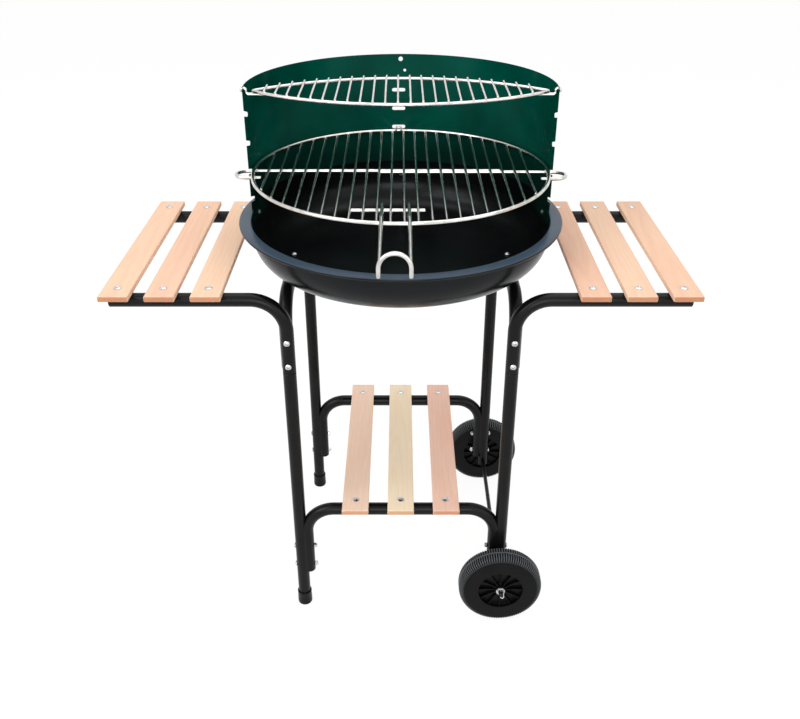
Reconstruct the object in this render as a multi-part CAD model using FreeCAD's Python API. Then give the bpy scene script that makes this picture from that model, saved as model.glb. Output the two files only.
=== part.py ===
import FreeCAD, Part
import math
import os

# Charcoal grill trolley: an open round bowl with a half-round windshield and two grates, carried by
# four tube legs with a slatted side table on each side, a slatted lower shelf and two wheels.
# Millimetres. +X right, +Y towards the windshield, +Z up from the ground.
# The sub-parts are laid out round the bowl axis and moved to the box centre when they are written.

vector = FreeCAD.Vector
along_x = vector(1, 0, 0)
along_y = vector(0, 1, 0)
along_z = vector(0, 0, 1)
left, right = -1, 1
front, rear = -1, 1
side_names = {left: "left", right: "right"}
end_names = {front: "front", rear: "rear"}

# Overall sizes
rim_height = 709.4              # top of the bowl flange above the ground
rim_radius = 270.0              # over the rolled bead of the flange
table_drop = 55.2               # top of the side tables below the rim
shelf_height = 242.3            # top of the lower shelf above the ground
arm_length = 271.4              # leg axis to the outer end of an arm tube

# Bowl: one pressed and enamelled sheet
flange_width = 20.0
bowl_sheet = 1.2
bowl_depth = 76.4               # flange top to the underside of the floor
bowl_corner_share = 0.224       # of the wall's radius
flange_bend_radius = 3.0
flange_bead_radius = 2.6

# Windshield: half a cylinder of thin sheet inside the bowl wall
shield_rise = 211.2             # above the rim
shield_sheet = 0.8
shield_gap = 0.2                # to the bowl wall
shield_wrap = 15.0              # runs on past the half circle at both front edges
shield_low_gap = 0.6            # lower edge above the bowl corner
shield_screw_offset = 38.0      # end screws behind the bowl axis
hang_hole_radius = 4.0
hang_hole_drop = 8.6            # below the top edge
small_hole_radius = 2.5
small_hole_drop = 28.6
small_hole_offset = 7.5
notch_count = 4
notch_pitch = 47.0
notch_gap = 0.6                 # round the crossbar wire
notch_flare = 17.0              # slope of the notch's upper side, degrees
slot_count = 3
slot_pitch = 34.0
slot_width = 24.5
slot_gap = 0.3                  # under the hook wire

# Tubes
tube_radius = 11.0
tube_wall = 1.2
swage_gap = 0.1                 # leg top inside the arm tube
dent_gap = 0.1                  # a dented tube end to the tube it saddles
leg_circle_gap = 5.6            # leg axes outside the bowl wall
arm_bend_radius = 55.0
arm_straight = 74.0             # upright end of an arm, below its bend
swage_length = 70.0
swage_cone = 1.5
cradle_offset = 3.3             # cradle tubes outside the leg axes
cradle_inset = 15.7             # cradle ends inside the leg axes, dented by the difference
cradle_bend_radius = 50.0
shelf_inset = 12.2              # shelf tube ends inside the leg axes
shelf_bend_radius = 50.0
shelf_end_above_axle = 8.0
plug_flange = 1.5
plug_length = 11.0
plug_gap = 0.1

# Slats
slat_width = 46.0
slat_thickness = 9.0
slat_overhang = 31.8            # past the tube axis at each end
slat_edge_radius = 1.5
table_slat_count = 3
table_slat_pitch = 70.25
table_slat_inset = 14.2         # outer slat's centre inside the arm end
shelf_slat_count = 3
shelf_slat_pitch = 79.6

# Fasteners
bolt_radius = 2.5               # M5 in the frame
bolt_hole_gap = 0.1
bolt_head_radius = 5.0
bolt_head_height = 3.2
nut_flats = 8.0
nut_height = 4.0
bolt_stickout = 1.5
bolt_head_edge_share = 0.3      # upright edge of a dome head
joint_bolt_drop = 17.0          # upper joint bolt below the arm's bend
joint_bolt_pitch = 43.0
shelf_bolt_rise = 12.0          # lower shelf bolt above the tube end
shelf_bolt_share = 0.556        # of the straight end above the lower bolt
slat_screw_head_radius = 6.2
slat_screw_head_height = 2.2
slat_screw_reach = 6.0          # past the tube wall it bites into
shield_screw_radius = 2.0       # M4 through the bowl wall
shield_screw_head_radius = 4.0
shield_screw_head_height = 2.2
shield_nut_flats = 7.0
shield_nut_height = 3.2

# Running gear and feet
wheel_radius = 75.0
wheel_width = 38.0
wheel_gap = 3.3                 # leg to wheel, holds a washer
wheel_wall = 2.5
wheel_shoulder_radius = 12.0
hub_radius = 9.0
hub_recess_radius = 40.0
hub_recess_depth = 9.0
hub_fin_count = 12
hub_fin_thickness = 2.0
hub_fin_drop = 2.0              # fins below the wheel's face
hub_fin_root = 0.5              # fins run into the hub, the recess wall and its floor
axle_radius = 4.0
axle_running_gap = 0.05
axle_hole_gap = 0.1
axle_overhang = 12.0            # past the wheel's outer face
axle_chamfer = 0.8
leg_below_axle = 15.0
washer_radius = 8.0
washer_thickness = 1.3
washer_gap = 0.3
clip_wire_radius = 1.0
clip_place = 4.6                # clip's plane outside the wheel face
clip_stub = 6.2                 # the straight leg's free end above the axle
clip_drop = 13.0                # the round head below the axle
clip_head_width = 8.0
clip_hug_gap = 0.3              # hugging leg to the axle
clip_hug_rise = 8.8             # its arch over the axle
clip_hug_start = 7.0            # below the axle
clip_hug_end = 1.0              # its free end below the axle
clip_bend_radii = [3.9, 3.7, 6.0, 5.2, 5.2]
foot_radius = 13.2
foot_height = 30.0
foot_sole = 4.0
foot_round = 5.0
foot_gap = 0.05

# Main grate
grate_rise = 73.6               # ring's wire centre above the rim
grate_ring_gap = 5.8            # ring's wire centre inside the windshield
ring_wire_radius = 3.0
grate_wire_radius = 2.0
grate_bar_count = 22
grate_bar_spread = 0.881        # outer bars over the ring's radius
grate_bar_offset = -4.7
crossbar_place = 13.0           # mean of both crossbars, behind the bowl axis
crossbar_loop_overhang = 1.0    # past the rim
crossbar_loop_width = 35.0
crossbar_tail = 43.0
crossbar_inner_ends = {left: 165.0, right: -35.0}
loop_straight = 0.1             # half of the straight left between two bends of a loop
anchor_bar_inset = 70.0         # inside the ring
anchor_bar_centre = -20.0
anchor_bar_length = 113.0
handle_wire_radius = 2.75
handle_span = 1.99              # leg to leg, in bar pitches
handle_shift = 0.14             # its middle left of the bars' middle, in bar pitches
handle_start_inset = 86.0       # inside the ring
handle_overhang = 199.0         # past the ring
handle_dip = 5.5                # degrees; inside the ring its legs slope down to the anchor bar
handle_dip_bend = 30.0
handle_rise = 33.0
handle_bend_radius = 7.0
hook_centre = -3.7
hook_width = 9.0
hook_weld = 20.0                # over the ring and on inwards
hook_reach = 4.5                # past the windshield's inner face
hook_bend_radius = 4.0
pull_slope = 15.0               # degrees; the grate draws out forwards and slightly up

# Warming grate
warming_drop = 8.6              # rim wire centre below the windshield's top
warming_end_gap = 11.8          # rim's tips inside the windshield
warming_sagitta = 88.0
warming_rim_radius = 2.5
warming_tip_radius = 5.0
warming_bar_radius = 1.75
warming_bar_count = 23
warming_bar_spread = 0.8856     # outer bars over the half length
warming_bar_offset = -4.2
warming_bar_end_share = 0.5
warming_hook_inner = 21.0       # weld length inside the tip
warming_hook_gap = 3.4          # hook's uprights to the middle of the windshield sheet
warming_hook_seat = 0.2
warming_hook_bends = [4.0, 3.3, 3.3]
warming_hook_drop = 5.5
warming_notch_depth = 7.3       # hook's notch in the windshield's top edge
warming_notch_gap = 0.4

cutter_margin = 5.0             # cutting tools start and end this far clear

# Sizes that follow
bowl_wall_radius = rim_radius - flange_width
bowl_floor_z = rim_height - bowl_depth
bowl_corner_radius = bowl_wall_radius * bowl_corner_share
bowl_floor_radius = bowl_wall_radius - bowl_corner_radius
bowl_corner_z = bowl_floor_z + bowl_corner_radius
bowl_inner_radius = bowl_wall_radius - bowl_sheet
shield_outer_radius = bowl_inner_radius - shield_gap
shield_inner_radius = shield_outer_radius - shield_sheet
shield_top_z = rim_height + shield_rise
shield_low_z = bowl_corner_z + shield_low_gap
shield_screw_z = (bowl_corner_z + rim_height - flange_bend_radius) / 2
tube_bore = tube_radius - tube_wall
swage_radius = tube_bore - swage_gap
leg_half = (bowl_wall_radius + leg_circle_gap) / math.sqrt(2)
slat_length = 2 * (leg_half + slat_overhang)
arm_reach = leg_half + arm_length
arm_z = rim_height - table_drop - slat_thickness - tube_radius
table_z = rim_height - table_drop
joint_top_z = arm_z - arm_bend_radius
arm_end_z = joint_top_z - arm_straight
joint_bolt_zs = [joint_top_z - joint_bolt_drop, joint_top_z - joint_bolt_drop - joint_bolt_pitch]
cradle_x = leg_half + cradle_offset
cradle_z = bowl_floor_z - tube_radius
cradle_end_y = leg_half - cradle_inset
axle_z = wheel_radius
shelf_tube_z = shelf_height - slat_thickness - tube_radius
shelf_end_x = leg_half - shelf_inset
shelf_end_z = axle_z + shelf_end_above_axle
shelf_bolt_low_z = shelf_end_z + shelf_bolt_rise
shelf_bolt_span = (shelf_tube_z - shelf_bend_radius - shelf_bolt_low_z) * shelf_bolt_share
shelf_bolt_zs = [shelf_bolt_low_z, shelf_bolt_low_z + shelf_bolt_span]
bolt_hole_radius = bolt_radius + bolt_hole_gap
wheel_inner_y = leg_half + tube_radius + wheel_gap
wheel_outer_y = wheel_inner_y + wheel_width
axle_end_y = wheel_outer_y + axle_overhang
grate_z = rim_height + grate_rise
grate_ring_radius = shield_inner_radius - grate_ring_gap
grate_bar_pitch = 2 * grate_ring_radius * grate_bar_spread / (grate_bar_count - 1)
crossbar_z = grate_z - 2 * ring_wire_radius
crossbar_loop_reach = rim_radius + crossbar_loop_overhang
grate_bar_z = crossbar_z + ring_wire_radius + grate_wire_radius
anchor_bar_y = anchor_bar_inset - grate_ring_radius
crossbar_ys = {left: crossbar_place + ring_wire_radius, right: crossbar_place - ring_wire_radius}
handle_z = grate_z + ring_wire_radius + handle_wire_radius
handle_width = grate_bar_pitch * handle_span
handle_centre = grate_bar_offset - grate_bar_pitch * handle_shift
handle_start = handle_start_inset - grate_ring_radius
handle_reach = -handle_overhang - grate_ring_radius
hook_z = grate_z + ring_wire_radius + grate_wire_radius
hook_start = grate_ring_radius - hook_weld
hook_reach_y = shield_inner_radius + hook_reach
notch_radius = ring_wire_radius + notch_gap
pull_rise = math.tan(math.radians(pull_slope))
warming_z = shield_top_z - warming_drop
warming_notch_z = shield_top_z - warming_notch_depth
warming_half_length = shield_inner_radius - warming_end_gap
warming_bar_pitch = 2 * warming_half_length * warming_bar_spread / (warming_bar_count - 1)
warming_arc_radius = (warming_half_length ** 2 + warming_sagitta ** 2) / (2 * warming_sagitta)
origin_y = (handle_reach - handle_wire_radius + rim_radius) / 2


# Shapes that repeat

def cylinder(radius, start, direction, length):
    return Part.makeCylinder(radius, length, start, direction)


def ring(outer_radius, inner_radius, start, direction, length):
    outer = cylinder(outer_radius, start, direction, length)
    return outer.cut(cylinder(inner_radius, start, direction, length))


def turned(edges):
    # solid of revolution about Z from a closed outline in the XZ plane
    return Part.Face(Part.Wire(edges)).revolve(vector(0, 0, 0), along_z, 360)


def outline(points):
    return [Part.makeLine(a, b) for a, b in zip(points, points[1:])]


def arc(centre_r, centre_z, radius, start_degrees, end_degrees):
    # circular edge in the XZ plane, angles from +X towards +Z
    def point(degrees):
        angle = math.radians(degrees)
        return vector(centre_r + radius * math.cos(angle), 0, centre_z + radius * math.sin(angle))
    middle = (start_degrees + end_degrees) / 2
    return Part.Arc(point(start_degrees), point(middle), point(end_degrees)).toShape()


def placed(shape, base, direction):
    # turns a shape modelled along +Z to another direction
    copy = shape.copy()
    copy.Placement = FreeCAD.Placement(base, FreeCAD.Rotation(along_z, direction))
    return copy


def bend(before, corner, after, bend_radius):
    # start, middle and end of the arc that rounds a corner
    back = (before - corner).normalize()
    ahead = (after - corner).normalize()
    half_angle = back.getAngle(ahead) / 2
    reach = bend_radius / math.tan(half_angle)
    inward = (back + ahead).normalize()
    depth = bend_radius / math.sin(half_angle) - bend_radius
    return corner + back * reach, corner + inward * depth, corner + ahead * reach


def bent_path(points, bend_radii):
    edges = []
    here = points[0]
    for index, bend_radius in enumerate(bend_radii, start=1):
        start, middle, end = bend(points[index - 1], points[index], points[index + 1], bend_radius)
        if here.distanceToPoint(start) > 0.001:
            edges.append(Part.makeLine(here, start))
        edges.append(Part.Arc(start, middle, end).toShape())
        here = end
    edges.append(Part.makeLine(here, points[-1]))
    return Part.Wire(edges)


def bent_rod(points, bend_radii, radius):
    section = Part.Wire(Part.makeCircle(radius, points[0], points[1] - points[0]))
    return bent_path(points, bend_radii).makePipe(Part.Face(section))


def bent_tube(points, bend_radii):
    return bent_rod(points, bend_radii, tube_radius).cut(bent_rod(points, bend_radii, tube_bore))


def dented(tube, filled, guide_points, guide_bends):
    # presses a tube end into a saddle round another tube; the dent keeps the wall's thickness
    cavity = bent_rod(guide_points, guide_bends, tube_radius + dent_gap)
    shell = bent_rod(guide_points, guide_bends, tube_radius + dent_gap + tube_wall)
    saddle = filled.common(shell).cut(cavity)
    return tube.cut(cavity).fuse(saddle).removeSplitter()


def drilled(shape, holes):
    # holes: (start, direction, length, radius)
    for start, direction, length, radius in holes:
        shape = shape.cut(cylinder(radius, start, direction, length))
    return shape


def dome_bolt(shank_radius, shank_length, head_radius, head_height):
    # head above the origin, shank below it
    edge_height = head_height * bolt_head_edge_share
    crown = head_height - edge_height
    crown_radius = (head_radius ** 2 + crown ** 2) / (2 * crown)
    crown_centre = head_height - crown_radius
    edge_angle = math.degrees(math.asin((edge_height - crown_centre) / crown_radius))
    edges = outline([vector(0, 0, head_height), vector(0, 0, -shank_length),
                     vector(shank_radius, 0, -shank_length), vector(shank_radius, 0, 0),
                     vector(head_radius, 0, 0), vector(head_radius, 0, edge_height)])
    return turned(edges + [arc(0, crown_centre, crown_radius, edge_angle, 90)])


def hex_nut(bore_radius, flats, height):
    corner_radius = flats / math.sqrt(3)
    corners = [vector(corner_radius * math.cos(math.radians(60 * i)),
                      corner_radius * math.sin(math.radians(60 * i)), 0) for i in range(7)]
    prism = Part.Face(Part.makePolygon(corners)).extrude(vector(0, 0, height))
    return prism.cut(cylinder(bore_radius, vector(0, 0, 0), along_z, height))


def fastened(seat, direction, grip, head_radius=bolt_head_radius, head_height=bolt_head_height,
             shank_radius=bolt_radius, flats=nut_flats, thickness=nut_height):
    # a bolt pushed along a direction from its seat, and the nut behind the grip
    bolt = dome_bolt(shank_radius, grip + thickness + bolt_stickout, head_radius, head_height)
    nut = hex_nut(shank_radius, flats, thickness)
    return placed(bolt, seat, direction * -1), placed(nut, seat + direction * grip, direction)


# Bowl and windshield

def fire_bowl():
    bead_r = rim_radius - flange_bead_radius
    bead_z = rim_height - flange_bead_radius
    bead_close = 180 - math.degrees(math.asin((flange_bead_radius - bowl_sheet) / flange_bead_radius))
    bend_r = bowl_inner_radius + flange_bend_radius
    bend_z = rim_height - flange_bend_radius
    bead_foot = bead_r + flange_bead_radius * math.cos(math.radians(bead_close))
    inner_corner = bowl_corner_radius - bowl_sheet
    inside = [
        Part.makeLine(vector(0, 0, bowl_floor_z), vector(0, 0, bowl_floor_z + bowl_sheet)),
        Part.makeLine(vector(0, 0, bowl_floor_z + bowl_sheet),
                      vector(bowl_floor_radius, 0, bowl_floor_z + bowl_sheet)),
        arc(bowl_floor_radius, bowl_corner_z, inner_corner, -90, 0),
        Part.makeLine(vector(bowl_inner_radius, 0, bowl_corner_z), vector(bowl_inner_radius, 0, bend_z)),
        arc(bend_r, bend_z, flange_bend_radius, 180, 90),
        Part.makeLine(vector(bend_r, 0, rim_height), vector(bead_r, 0, rim_height)),
    ]
    bead = [
        arc(bead_r, bead_z, flange_bead_radius, 90, -90),
        arc(bead_r, bead_z, flange_bead_radius, 270, bead_close),
    ]
    outside = [
        Part.makeLine(vector(bead_foot, 0, rim_height - bowl_sheet),
                      vector(bend_r, 0, rim_height - bowl_sheet)),
        arc(bend_r, bend_z, flange_bend_radius - bowl_sheet, 90, 180),
        Part.makeLine(vector(bowl_wall_radius, 0, bend_z), vector(bowl_wall_radius, 0, bowl_corner_z)),
        arc(bowl_floor_radius, bowl_corner_z, bowl_corner_radius, 0, -90),
        Part.makeLine(vector(bowl_floor_radius, 0, bowl_floor_z), vector(0, 0, bowl_floor_z)),
    ]
    bowl = turned(inside + bead + outside)
    holes = [(vector(side * cradle_x, 0, bowl_floor_z - cutter_margin), along_z,
              bowl_sheet + 2 * cutter_margin, bolt_hole_radius) for side in (left, right)]
    return drilled(bowl, holes + shield_screw_holes())


def shield_screw_directions():
    offset_angle = math.asin(shield_screw_offset / bowl_inner_radius)
    angles = [offset_angle, math.pi / 2, math.pi - offset_angle]
    return [vector(math.cos(angle), math.sin(angle), 0) for angle in angles]


def shield_screw_holes():
    start_radius = shield_inner_radius - cutter_margin
    length = bowl_wall_radius - shield_inner_radius + 2 * cutter_margin
    return [(direction * start_radius + vector(0, 0, shield_screw_z), direction, length,
             shield_screw_radius + bolt_hole_gap) for direction in shield_screw_directions()]


def notch_cutter(side, level):
    # open to the front edge; its lower side follows the grate's pull and its upper side flares
    seat_y = crossbar_ys[side]
    seat_z = crossbar_z + level * notch_pitch
    run = seat_y + shield_wrap + 2 * notch_radius
    flare = math.radians(notch_flare)
    slope = math.radians(pull_slope)
    low_y = seat_y - notch_radius * math.sin(slope)
    low_z = seat_z - notch_radius * math.cos(slope)
    high_y = seat_y + notch_radius * math.sin(flare)
    high_z = seat_z + notch_radius * math.cos(flare)
    start_x = side * (shield_inner_radius - cutter_margin)
    corners = [vector(start_x, low_y, low_z), vector(start_x, low_y - run, low_z + run * pull_rise),
               vector(start_x, low_y - run, high_z + (run + high_y - low_y) * math.tan(flare)),
               vector(start_x, high_y, high_z), vector(start_x, low_y, low_z)]
    depth = vector(side * (shield_sheet + 2 * cutter_margin), 0, 0)
    mouth = Part.Face(Part.makePolygon(corners)).extrude(depth)
    seat = cylinder(notch_radius, vector(start_x, seat_y, seat_z), depth, depth.Length)
    return mouth.fuse(seat)


def slot_cutter(level):
    # the hook wire lifts a little while the grate draws out, so the slot is taller than the wire
    lift = (hook_reach + grate_wire_radius) * pull_rise
    half_height = grate_wire_radius + slot_gap + lift / 2
    centre_z = hook_z + lift / 2 + level * slot_pitch
    start_y = shield_inner_radius - cutter_margin
    depth = shield_sheet + 2 * cutter_margin
    half_run = slot_width / 2 - half_height
    corner = vector(hook_centre - half_run, start_y, centre_z - half_height)
    body = Part.makeBox(2 * half_run, depth, 2 * half_height, corner)
    for side in (left, right):
        end_centre = vector(hook_centre + side * half_run, start_y, centre_z)
        body = body.fuse(cylinder(half_height, end_centre, along_y, depth))
    return body


def windshield():
    size = 2 * rim_radius
    sheet = ring(shield_outer_radius, shield_inner_radius, vector(0, 0, shield_low_z), along_z,
                 shield_top_z - shield_low_z)
    corner = vector(-rim_radius, -shield_wrap, shield_low_z - cutter_margin)
    sheet = sheet.common(Part.makeBox(size, size, size, corner))
    for side in (left, right):
        for level in range(notch_count):
            sheet = sheet.cut(notch_cutter(side, level - 1))
    for level in range(slot_count):
        sheet = sheet.cut(slot_cutter(level))
    notch_width = 2 * (warming_rim_radius + warming_notch_gap)
    corner = vector(-rim_radius, -notch_width / 2, warming_notch_z)
    sheet = sheet.cut(Part.makeBox(size, notch_width, warming_notch_depth + cutter_margin, corner))
    back_y = shield_inner_radius - cutter_margin
    depth = shield_sheet + 2 * cutter_margin
    holes = [
        (vector(0, back_y, shield_top_z - hang_hole_drop), along_y, depth, hang_hole_radius),
        (vector(small_hole_offset, back_y, shield_top_z - small_hole_drop), along_y, depth,
         small_hole_radius),
    ]
    return drilled(sheet, holes + shield_screw_holes())


def shield_fasteners():
    # a head's flat seat bridges the hollow of the sheet
    seat_radius = math.sqrt(shield_inner_radius ** 2 - shield_screw_head_radius ** 2)
    pairs = []
    for direction in shield_screw_directions():
        seat = direction * seat_radius + vector(0, 0, shield_screw_z)
        pairs.append(fastened(seat, direction, bowl_wall_radius - seat_radius,
                              shield_screw_head_radius, shield_screw_head_height,
                              shield_screw_radius, shield_nut_flats, shield_nut_height))
    return pairs


def bowl_fasteners():
    grip = bowl_sheet + 2 * tube_radius
    return [fastened(vector(side * cradle_x, 0, bowl_floor_z + bowl_sheet), along_z * -1, grip)
            for side in (left, right)]


# Frame

def joint_holes(side, end):
    start_y = end * (leg_half + tube_radius + cutter_margin)
    length = cradle_inset + 2 * tube_radius + 2 * cutter_margin
    return [(vector(side * leg_half, start_y, z), along_y * -end, length, bolt_hole_radius)
            for z in joint_bolt_zs]


def shelf_joint_holes(side, end):
    start_x = side * (leg_half + tube_radius + cutter_margin)
    length = shelf_inset + 2 * tube_radius + 2 * cutter_margin
    return [(vector(start_x, end * leg_half, z), along_x * -side, length, bolt_hole_radius)
            for z in shelf_bolt_zs]


def table_slat_places():
    outer = arm_reach - table_slat_inset
    return [outer - index * table_slat_pitch for index in range(table_slat_count)]


def shelf_slat_places():
    middle = (shelf_slat_count - 1) / 2
    return [(index - middle) * shelf_slat_pitch for index in range(shelf_slat_count)]


def slat_screw_holes(places, end, tube_z):
    # through the upper wall only; the screws cut their own thread in it
    return [(vector(x, end * leg_half, tube_z), along_z, tube_radius + cutter_margin, bolt_radius)
            for x in places]


def arm_points(side, end, low_z):
    y = end * leg_half
    return [vector(side * arm_reach, y, arm_z), vector(side * leg_half, y, arm_z),
            vector(side * leg_half, y, low_z)]


def arm(side, end):
    y = end * leg_half
    tube = bent_tube(arm_points(side, end, arm_end_z), [arm_bend_radius])
    screw_holes = slat_screw_holes([side * x for x in table_slat_places()], end, arm_z)
    return drilled(tube, screw_holes + joint_holes(side, end))


def leg(side, end):
    # the top is swaged down to slide into the arm tube
    low_z = axle_z - leg_below_axle if side == right else foot_sole
    shoulder_z = arm_end_z - swage_cone
    top_z = arm_end_z + swage_length
    edges = outline([vector(tube_radius, 0, low_z), vector(tube_radius, 0, shoulder_z),
                     vector(swage_radius, 0, arm_end_z), vector(swage_radius, 0, top_z),
                     vector(swage_radius - tube_wall, 0, top_z),
                     vector(swage_radius - tube_wall, 0, arm_end_z), vector(tube_bore, 0, shoulder_z),
                     vector(tube_bore, 0, low_z), vector(tube_radius, 0, low_z)])
    tube = placed(turned(edges), vector(side * leg_half, end * leg_half, 0), along_z)
    holes = joint_holes(side, end) + shelf_joint_holes(side, end)
    if side == right:
        start = vector(side * leg_half, end * leg_half - tube_radius - cutter_margin, axle_z)
        holes.append((start, along_y, 2 * (tube_radius + cutter_margin), axle_radius + axle_hole_gap))
    return drilled(tube, holes)


def cradle(side):
    # an upturned U under the bowl; its ends saddle the arm tubes
    x = side * cradle_x
    points = [vector(x, -cradle_end_y, arm_end_z), vector(x, -cradle_end_y, cradle_z),
              vector(x, cradle_end_y, cradle_z), vector(x, cradle_end_y, arm_end_z)]
    bends = [cradle_bend_radius] * 2
    tube = bent_tube(points, bends)
    filled = bent_rod(points, bends, tube_radius)
    for end in (front, rear):
        guide = arm_points(side, end, arm_end_z - cutter_margin)
        tube = dented(tube, filled, guide, [arm_bend_radius])
        tube = drilled(tube, joint_holes(side, end))
    start = vector(x, 0, cradle_z - tube_radius - cutter_margin)
    return drilled(tube, [(start, along_z, 2 * (tube_radius + cutter_margin), bolt_hole_radius)])


def shelf_tube(end):
    y = end * leg_half
    points = [vector(-shelf_end_x, y, shelf_end_z), vector(-shelf_end_x, y, shelf_tube_z),
              vector(shelf_end_x, y, shelf_tube_z), vector(shelf_end_x, y, shelf_end_z)]
    bends = [shelf_bend_radius] * 2
    tube = bent_tube(points, bends)
    filled = bent_rod(points, bends, tube_radius)
    for side in (left, right):
        leg_line = [vector(side * leg_half, y, shelf_end_z - cutter_margin),
                    vector(side * leg_half, y, shelf_height)]
        tube = dented(tube, filled, leg_line, [])
        tube = drilled(tube, shelf_joint_holes(side, end))
    return drilled(tube, slat_screw_holes(shelf_slat_places(), end, shelf_tube_z))


def joint_fasteners():
    grip = leg_half + tube_radius - (cradle_end_y - tube_radius)
    return [fastened(vector(side * leg_half, end * (leg_half + tube_radius), z), along_y * -end, grip)
            for side in (left, right) for end in (front, rear) for z in joint_bolt_zs]


def shelf_fasteners():
    grip = shelf_inset + 2 * tube_radius
    return [fastened(vector(side * (leg_half + tube_radius), end * leg_half, z), along_x * -side, grip)
            for side in (left, right) for end in (front, rear) for z in shelf_bolt_zs]


def arm_end_plugs():
    edges = outline([vector(0, 0, plug_flange), vector(0, 0, -plug_length),
                     vector(tube_bore - plug_gap, 0, -plug_length), vector(tube_bore - plug_gap, 0, 0),
                     vector(tube_radius, 0, 0), vector(tube_radius, 0, plug_flange / 2),
                     vector(tube_bore, 0, plug_flange), vector(0, 0, plug_flange)])
    plug = turned(edges)
    return [placed(plug, vector(side * arm_reach, end * leg_half, arm_z), along_x * side)
            for side in (left, right) for end in (front, rear)]


# Slats

def slat(x, top_z):
    corner = vector(x - slat_width / 2, -slat_length / 2, top_z - slat_thickness)
    board = Part.makeBox(slat_width, slat_length, slat_thickness, corner)
    board = board.makeFillet(slat_edge_radius, board.Edges)
    holes = [(vector(x, end * leg_half, top_z - slat_thickness - cutter_margin), along_z,
              slat_thickness + 2 * cutter_margin, bolt_hole_radius) for end in (front, rear)]
    return drilled(board, holes)


def slat_screws(places, top_z):
    shank_length = slat_thickness + tube_wall + slat_screw_reach
    screw = dome_bolt(bolt_radius, shank_length, slat_screw_head_radius, slat_screw_head_height)
    return Part.makeCompound([placed(screw, vector(x, end * leg_half, top_z), along_z)
                              for x in places for end in (front, rear)])


# Running gear and feet

def wheel_half():
    # one moulded half, its joint face at z = 0 and its outer face up
    face_z = wheel_width / 2
    floor_z = face_z - hub_recess_depth
    shoulder_r = wheel_radius - wheel_shoulder_radius
    shoulder_z = face_z - wheel_shoulder_radius
    bore = axle_radius + axle_running_gap
    inner_wall = hub_recess_radius + wheel_wall
    edges = outline([vector(wheel_radius - wheel_wall, 0, 0), vector(wheel_radius, 0, 0),
                     vector(wheel_radius, 0, shoulder_z)])
    edges.append(arc(shoulder_r, shoulder_z, wheel_shoulder_radius, 0, 90))
    edges += outline([vector(shoulder_r, 0, face_z), vector(hub_recess_radius, 0, face_z),
                      vector(hub_recess_radius, 0, floor_z), vector(hub_radius, 0, floor_z),
                      vector(hub_radius, 0, face_z), vector(bore, 0, face_z), vector(bore, 0, 0),
                      vector(hub_radius, 0, 0), vector(hub_radius, 0, floor_z - wheel_wall),
                      vector(inner_wall, 0, floor_z - wheel_wall),
                      vector(inner_wall, 0, face_z - wheel_wall),
                      vector(shoulder_r, 0, face_z - wheel_wall)])
    edges.append(arc(shoulder_r, shoulder_z, wheel_shoulder_radius - wheel_wall, 90, 0))
    edges += outline([vector(wheel_radius - wheel_wall, 0, shoulder_z),
                      vector(wheel_radius - wheel_wall, 0, 0)])
    half = turned(edges)
    fin = Part.makeBox(hub_recess_radius - hub_radius + 2 * hub_fin_root, hub_fin_thickness,
                       hub_recess_depth - hub_fin_drop + hub_fin_root,
                       vector(hub_radius - hub_fin_root, -hub_fin_thickness / 2, floor_z - hub_fin_root))
    fins = []
    for index in range(hub_fin_count):
        turned_fin = fin.copy()
        turned_fin.rotate(vector(0, 0, 0), along_z, index * 360 / hub_fin_count)
        fins.append(turned_fin)
    return half.fuse(fins).removeSplitter()


def wheel_halves(end):
    centre = vector(leg_half, end * (wheel_inner_y + wheel_outer_y) / 2, axle_z)
    half = wheel_half()
    return {"outer": placed(half, centre, along_y * end), "inner": placed(half, centre, along_y * -end)}


def clip_y(end):
    return end * (wheel_outer_y + clip_place)


def axle():
    rod = cylinder(axle_radius, vector(leg_half, -axle_end_y, axle_z), along_y, 2 * axle_end_y)
    end_edges = [edge for edge in rod.Edges if edge.BoundBox.YLength < 0.001]
    rod = rod.makeChamfer(axle_chamfer, end_edges)
    holes = [(vector(leg_half, clip_y(end), axle_z - 2 * axle_radius), along_z, 4 * axle_radius,
              clip_wire_radius + bolt_hole_gap) for end in (front, rear)]
    return drilled(rod, holes)


def axle_washers():
    washers = []
    for end in (front, rear):
        for y in (wheel_inner_y - washer_gap - washer_thickness, wheel_outer_y + washer_gap):
            start = vector(leg_half, end * y, axle_z)
            washers.append(ring(washer_radius, axle_radius + axle_hole_gap, start, along_y * end,
                                washer_thickness))
    return washers


def axle_clip(end):
    # a spring clip: one leg goes down through the axle, the other comes back up round it
    hug_x = axle_radius + clip_wire_radius + clip_hug_gap
    places = [(0, clip_stub), (0, -clip_drop), (clip_head_width, -clip_drop), (hug_x, -clip_hug_start),
              (hug_x, clip_hug_rise), (-hug_x, clip_hug_rise), (-hug_x, -clip_hug_end)]
    points = [vector(leg_half + x, clip_y(end), axle_z + z) for x, z in places]
    return bent_rod(points, clip_bend_radii, clip_wire_radius)


def foot_cap(end):
    bore = tube_radius + foot_gap
    edges = [arc(foot_radius - foot_round, foot_round, foot_round, -90, 0)]
    edges += outline([vector(foot_radius, 0, foot_round), vector(foot_radius, 0, foot_height),
                      vector(bore, 0, foot_height), vector(bore, 0, foot_sole), vector(0, 0, foot_sole),
                      vector(0, 0, 0), vector(foot_radius - foot_round, 0, 0)])
    return placed(turned(edges), vector(-leg_half, end * leg_half, 0), along_z)


# Main grate

def grate_bars():
    # level with the ring and resting on the crossbars; they end where they meet the ring's wire
    bars = []
    for index in range(grate_bar_count):
        x = grate_bar_offset + (index - (grate_bar_count - 1) / 2) * grate_bar_pitch
        half = math.sqrt((grate_ring_radius - ring_wire_radius) ** 2 - (abs(x) + grate_wire_radius) ** 2)
        bars.append(cylinder(grate_wire_radius, vector(x, -half, grate_bar_z), along_y, 2 * half))
    return bars


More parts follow.
